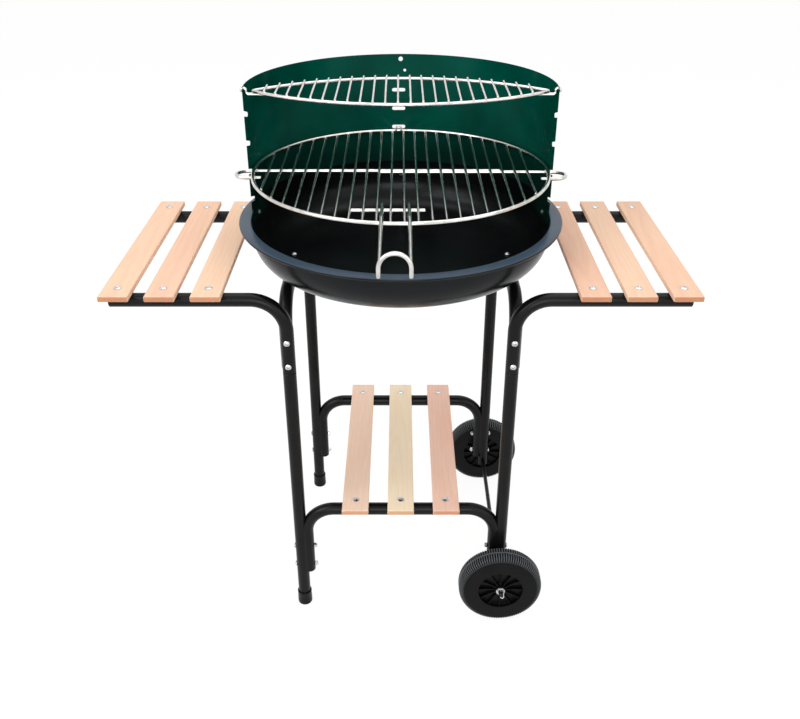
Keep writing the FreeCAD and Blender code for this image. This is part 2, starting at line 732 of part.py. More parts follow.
def grate_crossbar(side):
    # runs under the bars and the ring, and ends in a finger loop outside the windshield
    y = crossbar_ys[side]
    tail_y = y - crossbar_loop_width
    points = [vector(crossbar_inner_ends[side], y, crossbar_z),
              vector(side * crossbar_loop_reach, y, crossbar_z),
              vector(side * crossbar_loop_reach, tail_y, crossbar_z),
              vector(side * (crossbar_loop_reach - crossbar_tail), tail_y, crossbar_z)]
    return bent_rod(points, [crossbar_loop_width / 2 - loop_straight] * 2, ring_wire_radius)


def grate_anchor_bar():
    start = vector(anchor_bar_centre - anchor_bar_length / 2, anchor_bar_y, crossbar_z)
    return cylinder(ring_wire_radius, start, along_x, anchor_bar_length)


def grate_handle():
    # two legs lie over the anchor bar and the ring, and join in an upturned arch
    low_x = handle_centre - handle_width / 2
    high_x = handle_centre + handle_width / 2
    top_z = handle_z + handle_rise
    slope = math.radians(handle_dip)
    seat_z = crossbar_z + (ring_wire_radius + handle_wire_radius) / math.cos(slope)
    dip_y = anchor_bar_y - (handle_z - seat_z) / math.tan(slope)
    start_z = seat_z - (handle_start - anchor_bar_y) * math.tan(slope)
    leg = [(handle_start, start_z), (dip_y, handle_z), (handle_reach, handle_z), (handle_reach, top_z)]
    points = [vector(low_x, y, z) for y, z in leg] + [vector(high_x, y, z) for y, z in reversed(leg)]
    arch = handle_width / 2 - loop_straight
    bends = [handle_dip_bend, handle_bend_radius, arch]
    return bent_rod(points, bends + bends[::-1], handle_wire_radius)


def grate_hook():
    low_x = hook_centre - hook_width / 2
    high_x = hook_centre + hook_width / 2
    points = [vector(low_x, hook_start, hook_z), vector(low_x, hook_reach_y, hook_z),
              vector(high_x, hook_reach_y, hook_z), vector(high_x, hook_start, hook_z)]
    return bent_rod(points, [hook_bend_radius] * 2, grate_wire_radius)


# Warming grate

def warming_half_width(x):
    return math.sqrt(warming_arc_radius ** 2 - x ** 2) - (warming_arc_radius - warming_sagitta)


def bowed_wire(start, centre, sweep_degrees):
    # part of a level ring of rim wire, swept anticlockwise about its centre
    section = Part.Face(Part.Wire(Part.makeCircle(warming_rim_radius, start, along_z.cross(start - centre))))
    return section.revolve(centre, along_z, sweep_degrees)


def warming_rim():
    # two bowed wires run into a small round tip at each end
    centre_y = warming_arc_radius - warming_sagitta
    tip_x = math.sqrt((warming_arc_radius - warming_tip_radius) ** 2 - centre_y ** 2)
    half_bow = math.degrees(math.atan2(tip_x, centre_y))
    wires = []
    for turn in (0, 180):
        rotation = FreeCAD.Rotation(along_z, turn)
        bow_centre = vector(0, -centre_y, 0)
        tip_centre = vector(-tip_x, 0, 0)
        outward = (tip_centre - bow_centre).normalize()
        tip_start = tip_centre + outward * warming_tip_radius
        bow_start = vector(-tip_start.x, tip_start.y, 0)
        for start, centre, sweep in ((bow_start, bow_centre, 2 * half_bow),
                                     (tip_start, tip_centre, 180 - 2 * half_bow)):
            lift = vector(0, 0, warming_z)
            wires.append(bowed_wire(rotation.multVec(start) + lift, rotation.multVec(centre) + lift, sweep))
    return wires[0].fuse(wires[1:]).removeSplitter()


def warming_bars():
    bars = []
    z = warming_z + warming_rim_radius + warming_bar_radius
    for index in range(warming_bar_count):
        x = warming_bar_offset + (index - (warming_bar_count - 1) / 2) * warming_bar_pitch
        half = warming_half_width(x) + warming_rim_radius * warming_bar_end_share
        bars.append(cylinder(warming_bar_radius, vector(x, -half, z), along_y, 2 * half))
    return bars


def warming_hook(side):
    # welded under the rim's tip, through the notch in the windshield's top edge and down outside it
    sheet_x = (shield_inner_radius + shield_outer_radius) / 2
    low_z = warming_z - 2 * warming_rim_radius
    top_z = warming_notch_z + warming_rim_radius + warming_hook_seat
    points = [vector(side * (warming_half_length - warming_hook_inner), 0, low_z),
              vector(side * (sheet_x - warming_hook_gap), 0, low_z),
              vector(side * (sheet_x - warming_hook_gap), 0, top_z),
              vector(side * (sheet_x + warming_hook_gap), 0, top_z),
              vector(side * (sheet_x + warming_hook_gap), 0, top_z - warming_hook_drop)]
    return bent_rod(points, warming_hook_bends, warming_rim_radius)


# The nodes

def bolts_and_nuts(bolt_node, nut_node, pairs):
    return {bolt_node: Part.makeCompound([bolt for bolt, nut in pairs]),
            nut_node: Part.makeCompound([nut for bolt, nut in pairs])}


def fire_nodes():
    nodes = {"fire_bowl": fire_bowl(), "windshield": windshield()}
    nodes.update(bolts_and_nuts("windshield_screws", "windshield_nuts", shield_fasteners()))
    nodes.update(bolts_and_nuts("bowl_bolts", "bowl_nuts", bowl_fasteners()))
    return nodes


def frame_nodes():
    nodes = {}
    for side in (left, right):
        nodes["cradle_" + side_names[side]] = cradle(side)
        for end in (front, rear):
            corner = end_names[end] + "_" + side_names[side]
            nodes["arm_" + corner] = arm(side, end)
            nodes["leg_" + corner] = leg(side, end)
    for end in (front, rear):
        nodes["shelf_tube_" + end_names[end]] = shelf_tube(end)
        nodes["foot_cap_" + end_names[end]] = foot_cap(end)
    nodes["arm_end_plugs"] = Part.makeCompound(arm_end_plugs())
    nodes.update(bolts_and_nuts("joint_bolts", "joint_nuts", joint_fasteners()))
    nodes.update(bolts_and_nuts("shelf_tube_bolts", "shelf_tube_nuts", shelf_fasteners()))
    return nodes


def slat_nodes():
    nodes = {}
    places = table_slat_places()
    for side in (left, right):
        for number, x in enumerate(places, start=1):
            nodes["table_slat_%s_%d" % (side_names[side], number)] = slat(side * x, table_z)
    for number, x in enumerate(shelf_slat_places(), start=1):
        nodes["shelf_slat_%d" % number] = slat(x, shelf_height)
    both_sides = [side * x for side in (left, right) for x in places]
    nodes["table_screws"] = slat_screws(both_sides, table_z)
    nodes["shelf_screws"] = slat_screws(shelf_slat_places(), shelf_height)
    return nodes


def running_nodes():
    nodes = {"axle": axle(), "axle_washers": Part.makeCompound(axle_washers()),
             "axle_clips": Part.makeCompound([axle_clip(end) for end in (front, rear)])}
    for end in (front, rear):
        for face, half in wheel_halves(end).items():
            nodes["wheel_%s_%s" % (end_names[end], face)] = half
    return nodes


def grate_nodes():
    nodes = {
        "grate_ring": Part.makeTorus(grate_ring_radius, ring_wire_radius, vector(0, 0, grate_z)),
        "grate_bars": Part.makeCompound(grate_bars()),
        "grate_anchor_bar": grate_anchor_bar(),
        "grate_handle": grate_handle(),
        "grate_hook": grate_hook(),
        "warming_rim": warming_rim(),
        "warming_bars": Part.makeCompound(warming_bars()),
    }
    for side in (left, right):
        nodes["grate_crossbar_" + side_names[side]] = grate_crossbar(side)
        nodes["warming_hook_" + side_names[side]] = warming_hook(side)
    return nodes


os.makedirs("parts", exist_ok=True)
for make_nodes in (fire_nodes, frame_nodes, slat_nodes, running_nodes, grate_nodes):
    for name, shape in make_nodes().items():
        shape.translate(vector(0, -origin_y, 0))
        shape.exportStep("parts/" + name + ".step")
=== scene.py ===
import math
import random

import bmesh
import bpy
from mathutils import Matrix, Vector
from mathutils.geometry import delaunay_2d_cdt


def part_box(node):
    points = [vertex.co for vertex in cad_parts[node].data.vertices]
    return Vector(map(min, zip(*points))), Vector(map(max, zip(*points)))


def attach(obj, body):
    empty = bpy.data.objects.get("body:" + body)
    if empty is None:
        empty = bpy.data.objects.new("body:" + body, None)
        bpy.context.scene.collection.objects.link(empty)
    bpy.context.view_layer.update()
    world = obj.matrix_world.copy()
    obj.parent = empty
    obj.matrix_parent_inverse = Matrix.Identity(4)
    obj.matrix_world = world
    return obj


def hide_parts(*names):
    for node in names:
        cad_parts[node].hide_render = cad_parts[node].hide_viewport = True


# Charcoal grill trolley: enamelled bowl and windshield, wire grates, tube frame, pine slats, two wheels.
# Lengths are metres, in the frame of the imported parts; dictionaries hold millimetres times mm.

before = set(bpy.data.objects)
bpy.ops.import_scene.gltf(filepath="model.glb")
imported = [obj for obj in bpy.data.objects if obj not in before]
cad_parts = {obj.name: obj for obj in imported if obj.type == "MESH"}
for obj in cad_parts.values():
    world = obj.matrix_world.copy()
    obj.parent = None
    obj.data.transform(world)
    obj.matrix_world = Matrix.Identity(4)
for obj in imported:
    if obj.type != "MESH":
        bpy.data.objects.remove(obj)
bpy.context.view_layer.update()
mm = 0.001
random.seed(11)


# Colour and node helpers

def linear(hexText):
    channels = []
    for start in (1, 3, 5):
        share = int(hexText[start:start + 2], 16) / 255
        channels.append(share / 12.92 if share <= 0.04045 else ((share + 0.055) / 1.055) ** 2.4)
    return (*channels, 1.0)


def addNode(tree, kind, settings=None, sockets=None, stops=None):
    # a socket takes a plain value or another node's output; stops are a ramp's (place, colour) pairs
    node = tree.nodes.new(kind)
    for name, value in (settings or {}).items():
        setattr(node, name, value)
    for name, value in (sockets or {}).items():
        if isinstance(value, bpy.types.NodeSocket):
            tree.links.new(value, node.inputs[name])
        else:
            node.inputs[name].default_value = value
    for index, (place, colour) in enumerate(stops or []):
        elements = node.color_ramp.elements
        element = elements[index] if index < 2 else elements.new(place)
        element.position = place
        element.color = colour
    return node


def newMaterial(name, values):
    # values go straight on the shader's own sockets
    material = bpy.data.materials.new(name)
    material.use_nodes = True
    shader = material.node_tree.nodes["Principled BSDF"]
    for socket, value in values.items():
        shader.inputs[socket].default_value = value
    return material, material.node_tree, shader


def perSize(size):
    # noise scale whose features are about this long
    return 1.0 / size


# Materials

enamelLook = {
    "peelSize": 4.0 * mm,           # waves of the fired glass
    "peelHeight": 0.03 * mm,
    "bowlBlack": "#0a0b0c",
    "bowlGrey": "#101112",
    # painted reflection: blue-grey colour for the flange's top face
    "flangeReflectionTone": "#344352",
    "bandRise": 14 * mm,            # top of the windshield's black band above the bowl's rim
    "shadeReach": 85 * mm,          # painted shade fades out over this much above the band
    "shadeShare": 0.72,             # painted shade: share of the bowl's black mixed in at the band
    "bandFrom": 50 * mm,            # behind the bowl axis, where the band begins to show
    "bandFull": 100 * mm,
    "bandEdge": 1 * mm,             # half of the band's soft upper edge
    "greenDeep": "#00382e",
    "greenBright": "#004a3d",
}


def blackBowlEnamel(flangeZ):
    # vitreous enamel fired on pressed steel: deep black with a wet bluish sheen and a little orange peel; the
    # top face of the flange gets a painted blue-grey reflection in its colour
    material, tree, shader = newMaterial("blackVitreousEnamel", {
        "Roughness": 0.24, "IOR": 1.5, "Specular IOR Level": 0.2, "Specular Tint": linear("#eef1f4")})
    place = addNode(tree, "ShaderNodeTexCoord").outputs["Object"]
    cloud = addNode(tree, "ShaderNodeTexNoise", None, {
        "Vector": place, "Scale": perSize(90 * mm), "Detail": 2.0})
    tone = addNode(tree, "ShaderNodeValToRGB", None, {"Fac": cloud.outputs["Fac"]},
                   [(0.35, linear(enamelLook["bowlBlack"])), (0.7, linear(enamelLook["bowlGrey"]))])
    height = addNode(tree, "ShaderNodeSeparateXYZ", None, {"Vector": place}).outputs["Z"]
    # painted reflection: the flange's top face is tinted blue-grey in the base colour
    flangeReflectionMask = addNode(tree, "ShaderNodeMapRange", None, {
        "Value": height, "From Min": flangeZ - 1.6 * mm, "From Max": flangeZ - 0.3 * mm})
    flangeReflected = addNode(tree, "ShaderNodeMix", {"data_type": "RGBA"}, {
        0: flangeReflectionMask.outputs["Result"], 6: tone.outputs["Color"], 7: linear(enamelLook["flangeReflectionTone"])})
    tree.links.new(flangeReflected.outputs[2], shader.inputs["Base Color"])
    wear = addNode(tree, "ShaderNodeMapRange", None, {
        "Value": cloud.outputs["Fac"], "From Min": 0.3, "From Max": 0.7, "To Min": 0.22, "To Max": 0.27})
    tree.links.new(wear.outputs["Result"], shader.inputs["Roughness"])
    peel = addNode(tree, "ShaderNodeTexNoise", None, {
        "Vector": place, "Scale": perSize(enamelLook["peelSize"]), "Detail": 1.0})
    bump = addNode(tree, "ShaderNodeBump", None, {
        "Strength": 0.5, "Distance": enamelLook["peelHeight"], "Height": peel.outputs["Fac"]})
    tree.links.new(bump.outputs["Normal"], shader.inputs["Normal"])
    return material


def greenShieldEnamel(axis, bandZ):
    # bottle green enamel on thin sheet: saturated dark glass colour under a hard clear gloss; black in a low
    # band round the back, inside the bowl, and painted shade darkening the green towards that band
    material, tree, shader = newMaterial("greenVitreousEnamel", {
        "Roughness": 0.15, "IOR": 1.5, "Specular IOR Level": 0.13, "Specular Tint": linear("#a8e8da")})
    place = addNode(tree, "ShaderNodeTexCoord").outputs["Object"]
    cloud = addNode(tree, "ShaderNodeTexNoise", None, {
        "Vector": place, "Scale": perSize(90 * mm), "Detail": 2.0})
    tone = addNode(tree, "ShaderNodeValToRGB", None, {"Fac": cloud.outputs["Fac"]},
                   [(0.3, linear(enamelLook["greenDeep"])), (0.75, linear(enamelLook["greenBright"]))])
    parts = addNode(tree, "ShaderNodeSeparateXYZ", None, {"Vector": place})
    # black in a low band round the back of the sheet, inside the bowl
    behind = addNode(tree, "ShaderNodeMapRange", {"interpolation_type": "SMOOTHSTEP"}, {
        "Value": parts.outputs["Y"], "From Min": axis.y + enamelLook["bandFrom"],
        "From Max": axis.y + enamelLook["bandFull"]})
    low = addNode(tree, "ShaderNodeMapRange", None, {
        "Value": parts.outputs["Z"], "From Min": bandZ + enamelLook["bandEdge"],
        "From Max": bandZ - enamelLook["bandEdge"]})
    blackBand = addNode(tree, "ShaderNodeMath", {"operation": "MULTIPLY"}, {
        0: behind.outputs["Result"], 1: low.outputs["Result"]})
    # painted shade: the green darkens towards the bowl's rim, standing in for the shade low inside the bowl
    paintedShade = addNode(tree, "ShaderNodeMapRange", {"interpolation_type": "SMOOTHSTEP"}, {
        "Value": parts.outputs["Z"], "From Min": bandZ, "From Max": bandZ + enamelLook["shadeReach"],
        "To Min": enamelLook["shadeShare"], "To Max": 0.0})
    shadeDarkened = addNode(tree, "ShaderNodeMix", {"data_type": "RGBA"}, {
        0: paintedShade.outputs["Result"], 6: tone.outputs["Color"], 7: linear(enamelLook["bowlBlack"])})
    coated = addNode(tree, "ShaderNodeMix", {"data_type": "RGBA"}, {
        0: blackBand.outputs["Value"], 6: shadeDarkened.outputs[2], 7: linear(enamelLook["bowlBlack"])})
    tree.links.new(coated.outputs[2], shader.inputs["Base Color"])
    peel = addNode(tree, "ShaderNodeTexNoise", None, {
        "Vector": place, "Scale": perSize(2 * enamelLook["peelSize"]), "Detail": 1.0})
    bump = addNode(tree, "ShaderNodeBump", None, {
        "Strength": 0.5, "Distance": enamelLook["peelHeight"], "Height": peel.outputs["Fac"]})
    tree.links.new(bump.outputs["Normal"], shader.inputs["Normal"])
    return material


coatLook = {
    "black": "#090909",
    "lighter": "#111112",
    "grain": 1.4 * mm,              # texture of the baked powder, drawn twice as coarse to show
    "grainHeight": 0.02 * mm,
}


def blackPowderCoat():
    # powder coat baked on steel tube: even black, semi-gloss, with a fine leathery grain
    material, tree, shader = newMaterial("blackPowderCoat", {
        "Roughness": 0.3, "IOR": 1.5, "Specular IOR Level": 0.17})
    place = addNode(tree, "ShaderNodeTexCoord").outputs["Object"]
    cloud = addNode(tree, "ShaderNodeTexNoise", None, {
        "Vector": place, "Scale": perSize(40 * mm), "Detail": 4.0})
    tone = addNode(tree, "ShaderNodeValToRGB", None, {"Fac": cloud.outputs["Fac"]},
                   [(0.4, linear(coatLook["black"])), (0.8, linear(coatLook["lighter"]))])
    tree.links.new(tone.outputs["Color"], shader.inputs["Base Color"])
    dull = addNode(tree, "ShaderNodeMapRange", None, {
        "Value": cloud.outputs["Fac"], "From Min": 0.3, "From Max": 0.7, "To Min": 0.24, "To Max": 0.34})
    tree.links.new(dull.outputs["Result"], shader.inputs["Roughness"])
    grain = addNode(tree, "ShaderNodeTexNoise", None, {
        "Vector": place, "Scale": perSize(coatLook["grain"]), "Detail": 2.0})
    bump = addNode(tree, "ShaderNodeBump", None, {
        "Strength": 0.4, "Distance": coatLook["grainHeight"], "Height": grain.outputs["Fac"]})
    tree.links.new(bump.outputs["Normal"], shader.inputs["Normal"])
    return material


def metalFinish(name, bright, dull, roughness, cloudSize, streak):
    # plated steel: the tone drifts a little, and drawing marks break up the reflections
    material, tree, shader = newMaterial(name, {"Metallic": 1.0, "Roughness": roughness})
    place = addNode(tree, "ShaderNodeTexCoord").outputs["Object"]
    cloud = addNode(tree, "ShaderNodeTexNoise", None, {
        "Vector": place, "Scale": perSize(cloudSize), "Detail": 5.0})
    tone = addNode(tree, "ShaderNodeValToRGB", None, {"Fac": cloud.outputs["Fac"]},
                   [(0.3, linear(dull)), (0.6, linear(bright))])
    tree.links.new(tone.outputs["Color"], shader.inputs["Base Color"])
    haze = addNode(tree, "ShaderNodeMapRange", None, {
        "Value": cloud.outputs["Fac"], "From Min": 0.3, "From Max": 0.7,
        "To Min": roughness * 1.4, "To Max": roughness * 0.8})
    tree.links.new(haze.outputs["Result"], shader.inputs["Roughness"])
    marks = addNode(tree, "ShaderNodeTexNoise", None, {
        "Vector": place, "Scale": perSize(streak), "Detail": 2.0})
    bump = addNode(tree, "ShaderNodeBump", None, {
        "Strength": 0.25, "Distance": 0.02 * mm, "Height": marks.outputs["Fac"]})
    tree.links.new(bump.outputs["Normal"], shader.inputs["Normal"])
    return material


def mouldedPlastic(name, black, grey, roughness, grain):
    # injection moulded polypropylene: dull black with a spark-eroded grain
    material, tree, shader = newMaterial(name, {
        "Roughness": roughness, "IOR": 1.49, "Specular IOR Level": 0.12})
    place = addNode(tree, "ShaderNodeTexCoord").outputs["Object"]
    cloud = addNode(tree, "ShaderNodeTexNoise", None, {
        "Vector": place, "Scale": perSize(25 * mm), "Detail": 4.0})
    tone = addNode(tree, "ShaderNodeValToRGB", None, {"Fac": cloud.outputs["Fac"]},
                   [(0.35, linear(black)), (0.7, linear(grey))])
    tree.links.new(tone.outputs["Color"], shader.inputs["Base Color"])
    pits = addNode(tree, "ShaderNodeTexNoise", None, {
        "Vector": place, "Scale": perSize(grain), "Detail": 2.0})
    bump = addNode(tree, "ShaderNodeBump", None, {
        "Strength": 0.35, "Distance": 0.05 * mm, "Height": pits.outputs["Fac"]})
    tree.links.new(bump.outputs["Normal"], shader.inputs["Normal"])
    return material


treadHighlightLook = {
    # painted highlight tone for the rib crests
    "crestHighlight": "#565a5d",
    "grooveDepth": 1.1 * mm,        # below this the tread stays black
    "fadeStart": 9 * mm,            # inside the rim, where the painted highlight ends on the shoulder
    "fadeEnd": 4 * mm,
}


def paintTreadHighlight(material, centre, radius, shoulder, halfWidth):
    # painted highlight: the crests of the tread's ribs and the mould's seam are painted a light grey standing
    # in for their highlights
    tree = material.node_tree
    shader = tree.nodes["Principled BSDF"]
    moulded = shader.inputs["Base Color"].links[0].from_socket
    place = addNode(tree, "ShaderNodeTexCoord").outputs["Object"]
    offset = addNode(tree, "ShaderNodeVectorMath", {"operation": "SUBTRACT"}, {0: place, 1: centre})
    parts = addNode(tree, "ShaderNodeSeparateXYZ", None, {"Vector": offset.outputs["Vector"]})
    flat = addNode(tree, "ShaderNodeCombineXYZ", None, {"X": parts.outputs["X"], "Z": parts.outputs["Z"]})
    reach = addNode(tree, "ShaderNodeVectorMath", {"operation": "LENGTH"}, {0: flat.outputs["Vector"]})
    away = addNode(tree, "ShaderNodeMath", {"operation": "ABSOLUTE"}, {0: parts.outputs["Y"]})
    sideways = addNode(tree, "ShaderNodeMath", {"operation": "SUBTRACT"}, {
        0: reach.outputs["Value"], 1: radius - shoulder})
    along = addNode(tree, "ShaderNodeMath", {"operation": "SUBTRACT"}, {
        0: away.outputs["Value"], 1: halfWidth - shoulder})
    beyond = addNode(tree, "ShaderNodeMath", {"operation": "MAXIMUM"}, {0: along.outputs["Value"], 1: 0.0})
    corner = addNode(tree, "ShaderNodeCombineXYZ", None, {
        "X": sideways.outputs["Value"], "Y": beyond.outputs["Value"]})
    skin = addNode(tree, "ShaderNodeVectorMath", {"operation": "LENGTH"}, {0: corner.outputs["Vector"]})
    crestHighlight = addNode(tree, "ShaderNodeMapRange", None, {
        "Value": skin.outputs["Value"], "From Min": shoulder - treadHighlightLook["grooveDepth"],
        "From Max": shoulder - 0.3 * mm})
    faded = addNode(tree, "ShaderNodeMapRange", None, {
        "Value": reach.outputs["Value"], "From Min": radius - treadHighlightLook["fadeStart"],
        "From Max": radius - treadHighlightLook["fadeEnd"]})
    share = addNode(tree, "ShaderNodeMath", {"operation": "MULTIPLY"}, {
        0: crestHighlight.outputs["Result"], 1: faded.outputs["Result"]})
    # painted highlight on the rib crests, mixed into the base colour
    lighter = addNode(tree, "ShaderNodeMix", {"data_type": "RGBA"}, {
        0: share.outputs["Value"], 6: moulded, 7: linear(treadHighlightLook["crestHighlight"])})
    tree.links.new(lighter.outputs[2], shader.inputs["Base Color"])


pineLook = {
    "ringSpacing": 5.5 * mm,        # growth rings, a little coarse so that they show
    "ringShare": 0.2,               # how strongly they show
    "fibreWidth": 0.9 * mm,         # drawn about three times too coarse to show
    "fibreLength": 45 * mm,
    "blotchWidth": 26 * mm,
    "blotchLength": 190 * mm,
    "endTone": "#b07a45",
}


def planedPine(name, early, late, blush, pith, tilt):
    # planed raw pine: pale early wood, thin warmer late-wood lines, silky fibres and darker end grain
    material, tree, shader = newMaterial(name, {"Roughness": 0.62, "IOR": 1.45, "Specular IOR Level": 0.3})
    coordinates = addNode(tree, "ShaderNodeTexCoord")
    place = coordinates.outputs["Object"]
    fromPith = addNode(tree, "ShaderNodeMapping", None, {"Vector": place, "Location": pith, "Rotation": tilt})
    blotchWidth, blotchLength = perSize(pineLook["blotchWidth"]), perSize(pineLook["blotchLength"])
    slow = addNode(tree, "ShaderNodeMapping", None, {
        "Vector": fromPith.outputs["Vector"], "Scale": (blotchWidth, blotchLength, blotchWidth)})
    drift = addNode(tree, "ShaderNodeTexNoise", None, {
        "Vector": slow.outputs["Vector"], "Scale": 1.0, "Detail": 3.0})
    parts = addNode(tree, "ShaderNodeSeparateXYZ", None, {"Vector": fromPith.outputs["Vector"]})
    flat = addNode(tree, "ShaderNodeCombineXYZ", None, {"X": parts.outputs["X"], "Z": parts.outputs["Z"]})
    reach = addNode(tree, "ShaderNodeVectorMath", {"operation": "LENGTH"}, {0: flat.outputs["Vector"]})
    rings = addNode(tree, "ShaderNodeMath", {"operation": "MULTIPLY_ADD"}, {
        0: reach.outputs["Value"], 1: perSize(pineLook["ringSpacing"]), 2: drift.outputs["Fac"]})
    waver = addNode(tree, "ShaderNodeMath", {"operation": "MULTIPLY_ADD"}, {
        0: drift.outputs["Fac"], 1: 0.8, 2: rings.outputs["Value"]})
    year = addNode(tree, "ShaderNodeMath", {"operation": "FRACT"}, {0: waver.outputs["Value"]})
    grain = addNode(tree, "ShaderNodeValToRGB", None, {"Fac": year.outputs["Value"]},
                    [(0.0, (0, 0, 0, 1)), (0.4, (0, 0, 0, 1)), (0.85, (1, 1, 1, 1)), (1.0, (0, 0, 0, 1))])
    lateShare = addNode(tree, "ShaderNodeMath", {"operation": "MULTIPLY"}, {
        0: grain.outputs["Color"], 1: pineLook["ringShare"]})
    ringed = addNode(tree, "ShaderNodeMix", {"data_type": "RGBA"}, {
        0: lateShare.outputs["Value"], 6: linear(early), 7: linear(late)})
    fine = addNode(tree, "ShaderNodeMapping", None, {"Vector": place, "Scale": (
        perSize(pineLook["fibreWidth"]), perSize(pineLook["fibreLength"]), perSize(pineLook["fibreWidth"]))})
    fibres = addNode(tree, "ShaderNodeTexNoise", None, {
        "Vector": fine.outputs["Vector"], "Scale": 1.0, "Detail": 4.0})
    streaks = addNode(tree, "ShaderNodeValToRGB", None, {"Fac": fibres.outputs["Fac"]},
                      [(0.3, (0.86, 0.82, 0.78, 1.0)), (0.62, (1.0, 1.0, 1.0, 1.0))])
    streaked = addNode(tree, "ShaderNodeMix", {"data_type": "RGBA", "blend_type": "MULTIPLY"}, {
        0: 0.5, 6: ringed.outputs[2], 7: streaks.outputs["Color"]})
    pinkness = addNode(tree, "ShaderNodeMapRange", None, {
        "Value": drift.outputs["Fac"], "From Min": 0.38, "From Max": 0.66, "To Min": 0.0, "To Max": 0.4})
    blushed = addNode(tree, "ShaderNodeMix", {"data_type": "RGBA", "blend_type": "MIX"}, {
        0: pinkness.outputs["Result"], 6: streaked.outputs[2], 7: linear(blush)})
    facing = addNode(tree, "ShaderNodeSeparateXYZ", None, {"Vector": coordinates.outputs["Normal"]})
    endward = addNode(tree, "ShaderNodeMath", {"operation": "ABSOLUTE"}, {0: facing.outputs["Y"]})
    endShare = addNode(tree, "ShaderNodeMapRange", None, {
        "Value": endward.outputs["Value"], "From Min": 0.5, "From Max": 0.95, "To Min": 0.0, "To Max": 0.75})
    ended = addNode(tree, "ShaderNodeMix", {"data_type": "RGBA", "blend_type": "MULTIPLY"}, {
        0: endShare.outputs["Result"], 6: blushed.outputs[2], 7: linear(pineLook["endTone"])})
    tree.links.new(ended.outputs[2], shader.inputs["Base Color"])
    ridge = addNode(tree, "ShaderNodeMath", {"operation": "MULTIPLY_ADD"}, {
        0: year.outputs["Value"], 1: 0.2, 2: fibres.outputs["Fac"]})
    bump = addNode(tree, "ShaderNodeBump", None, {
        "Strength": 0.4, "Distance": 0.12 * mm, "Height": ridge.outputs["Value"]})
    tree.links.new(bump.outputs["Normal"], shader.inputs["Normal"])
    return material


bowlEnamel = blackBowlEnamel(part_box("fire_bowl")[1].z)
shieldEnamel = greenShieldEnamel((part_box("fire_bowl")[0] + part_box("fire_bowl")[1]) / 2,
                                 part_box("fire_bowl")[1].z + enamelLook["bandRise"])
powderCoat = blackPowderCoat()
# nickel-chrome plate on drawn wire gives a white mirror with a faint warm drift
brightWire = metalFinish("brightNickelChromeWire", "#dedcd8", "#c2c0bc", 0.16, 14 * mm, 1.2 * mm)
# bright zinc plate gives a slightly blue, softer shine
zincPlate = metalFinish("brightZincPlate", "#d3d6da", "#b3b7bb", 0.27, 6 * mm, 0.8 * mm)
# oil-blackened drawn rod: near-black satin steel
axleSteel = metalFinish("oilBlackenedSteel", "#38383a", "#222224", 0.3, 9 * mm, 0.8 * mm)
wheelPlastic = {name: mouldedPlastic("mouldedBlackWheelPlastic_" + name, "#050505", "#0a0a0a", 0.36, 0.9 * mm)
                for name in ("front", "rear")}
capPlastic = mouldedPlastic("mouldedBlackCapPlastic", "#0a0a0a", "#101010", 0.4, 0.9 * mm)
print("materials ready")


# Mesh helpers

def finishPiece(name, bm, material, body, nodes, sharpDegrees=35, recalculate=True):
    if recalculate:
        bmesh.ops.recalc_face_normals(bm, faces=bm.faces)
    mesh = bpy.data.meshes.new(name)
    bm.to_mesh(mesh)
    bm.free()
    mesh.shade_smooth()
    mesh.set_sharp_from_angle(angle=math.radians(sharpDegrees))
    mesh.materials.append(material)
    piece = bpy.data.objects.new(name, mesh)
    bpy.context.scene.collection.objects.link(piece)
    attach(piece, body)
    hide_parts(*nodes)
    return piece


def arcPoints(centreR, centreZ, radius, startDegrees, endDegrees, steps):
    # (radius, height) pairs for a lathe profile
    points = []
    for index in range(steps + 1):
        angle = math.radians(startDegrees + (endDegrees - startDegrees) * index / steps)
        points.append((centreR + radius * math.cos(angle), centreZ + radius * math.sin(angle)))
    return points


def turn(base, direction):
    # places a shape made along +Z
    rotation = Vector((0, 0, 1)).rotation_difference(Vector(direction)).to_matrix().to_4x4()
    return Matrix.Translation(base) @ rotation


def bridgeRings(bm, first, second):
    count = max(len(first), len(second))
    for index in range(count):
        following = (index + 1) % count
        if len(first) == 1:
            bm.faces.new((first[0], second[following], second[index]))
        elif len(second) == 1:
            bm.faces.new((first[index], first[following], second[0]))
        else:
            bm.faces.new((first[index], first[following], second[following], second[index]))


def lathe(bm, profile, segments, place, closed=False, shape=None):
    # profile is (radius, height) pairs; shape(radius, height, angle) may change a point
    rings = []
    for radius, height in profile:
        if radius < 1e-7:
            rings.append([bm.verts.new(place @ Vector((0, 0, height)))])
            continue
        ringVerts = []
        for index in range(segments):
            angle = 2 * math.pi * index / segments
            reach, rise = shape(radius, height, angle) if shape else (radius, height)
            point = Vector((reach * math.cos(angle), reach * math.sin(angle), rise))
            ringVerts.append(bm.verts.new(place @ point))
        rings.append(ringVerts)
    for first, second in zip(rings, rings[1:]):
        bridgeRings(bm, first, second)
    if closed:
        bridgeRings(bm, rings[-1], rings[0])


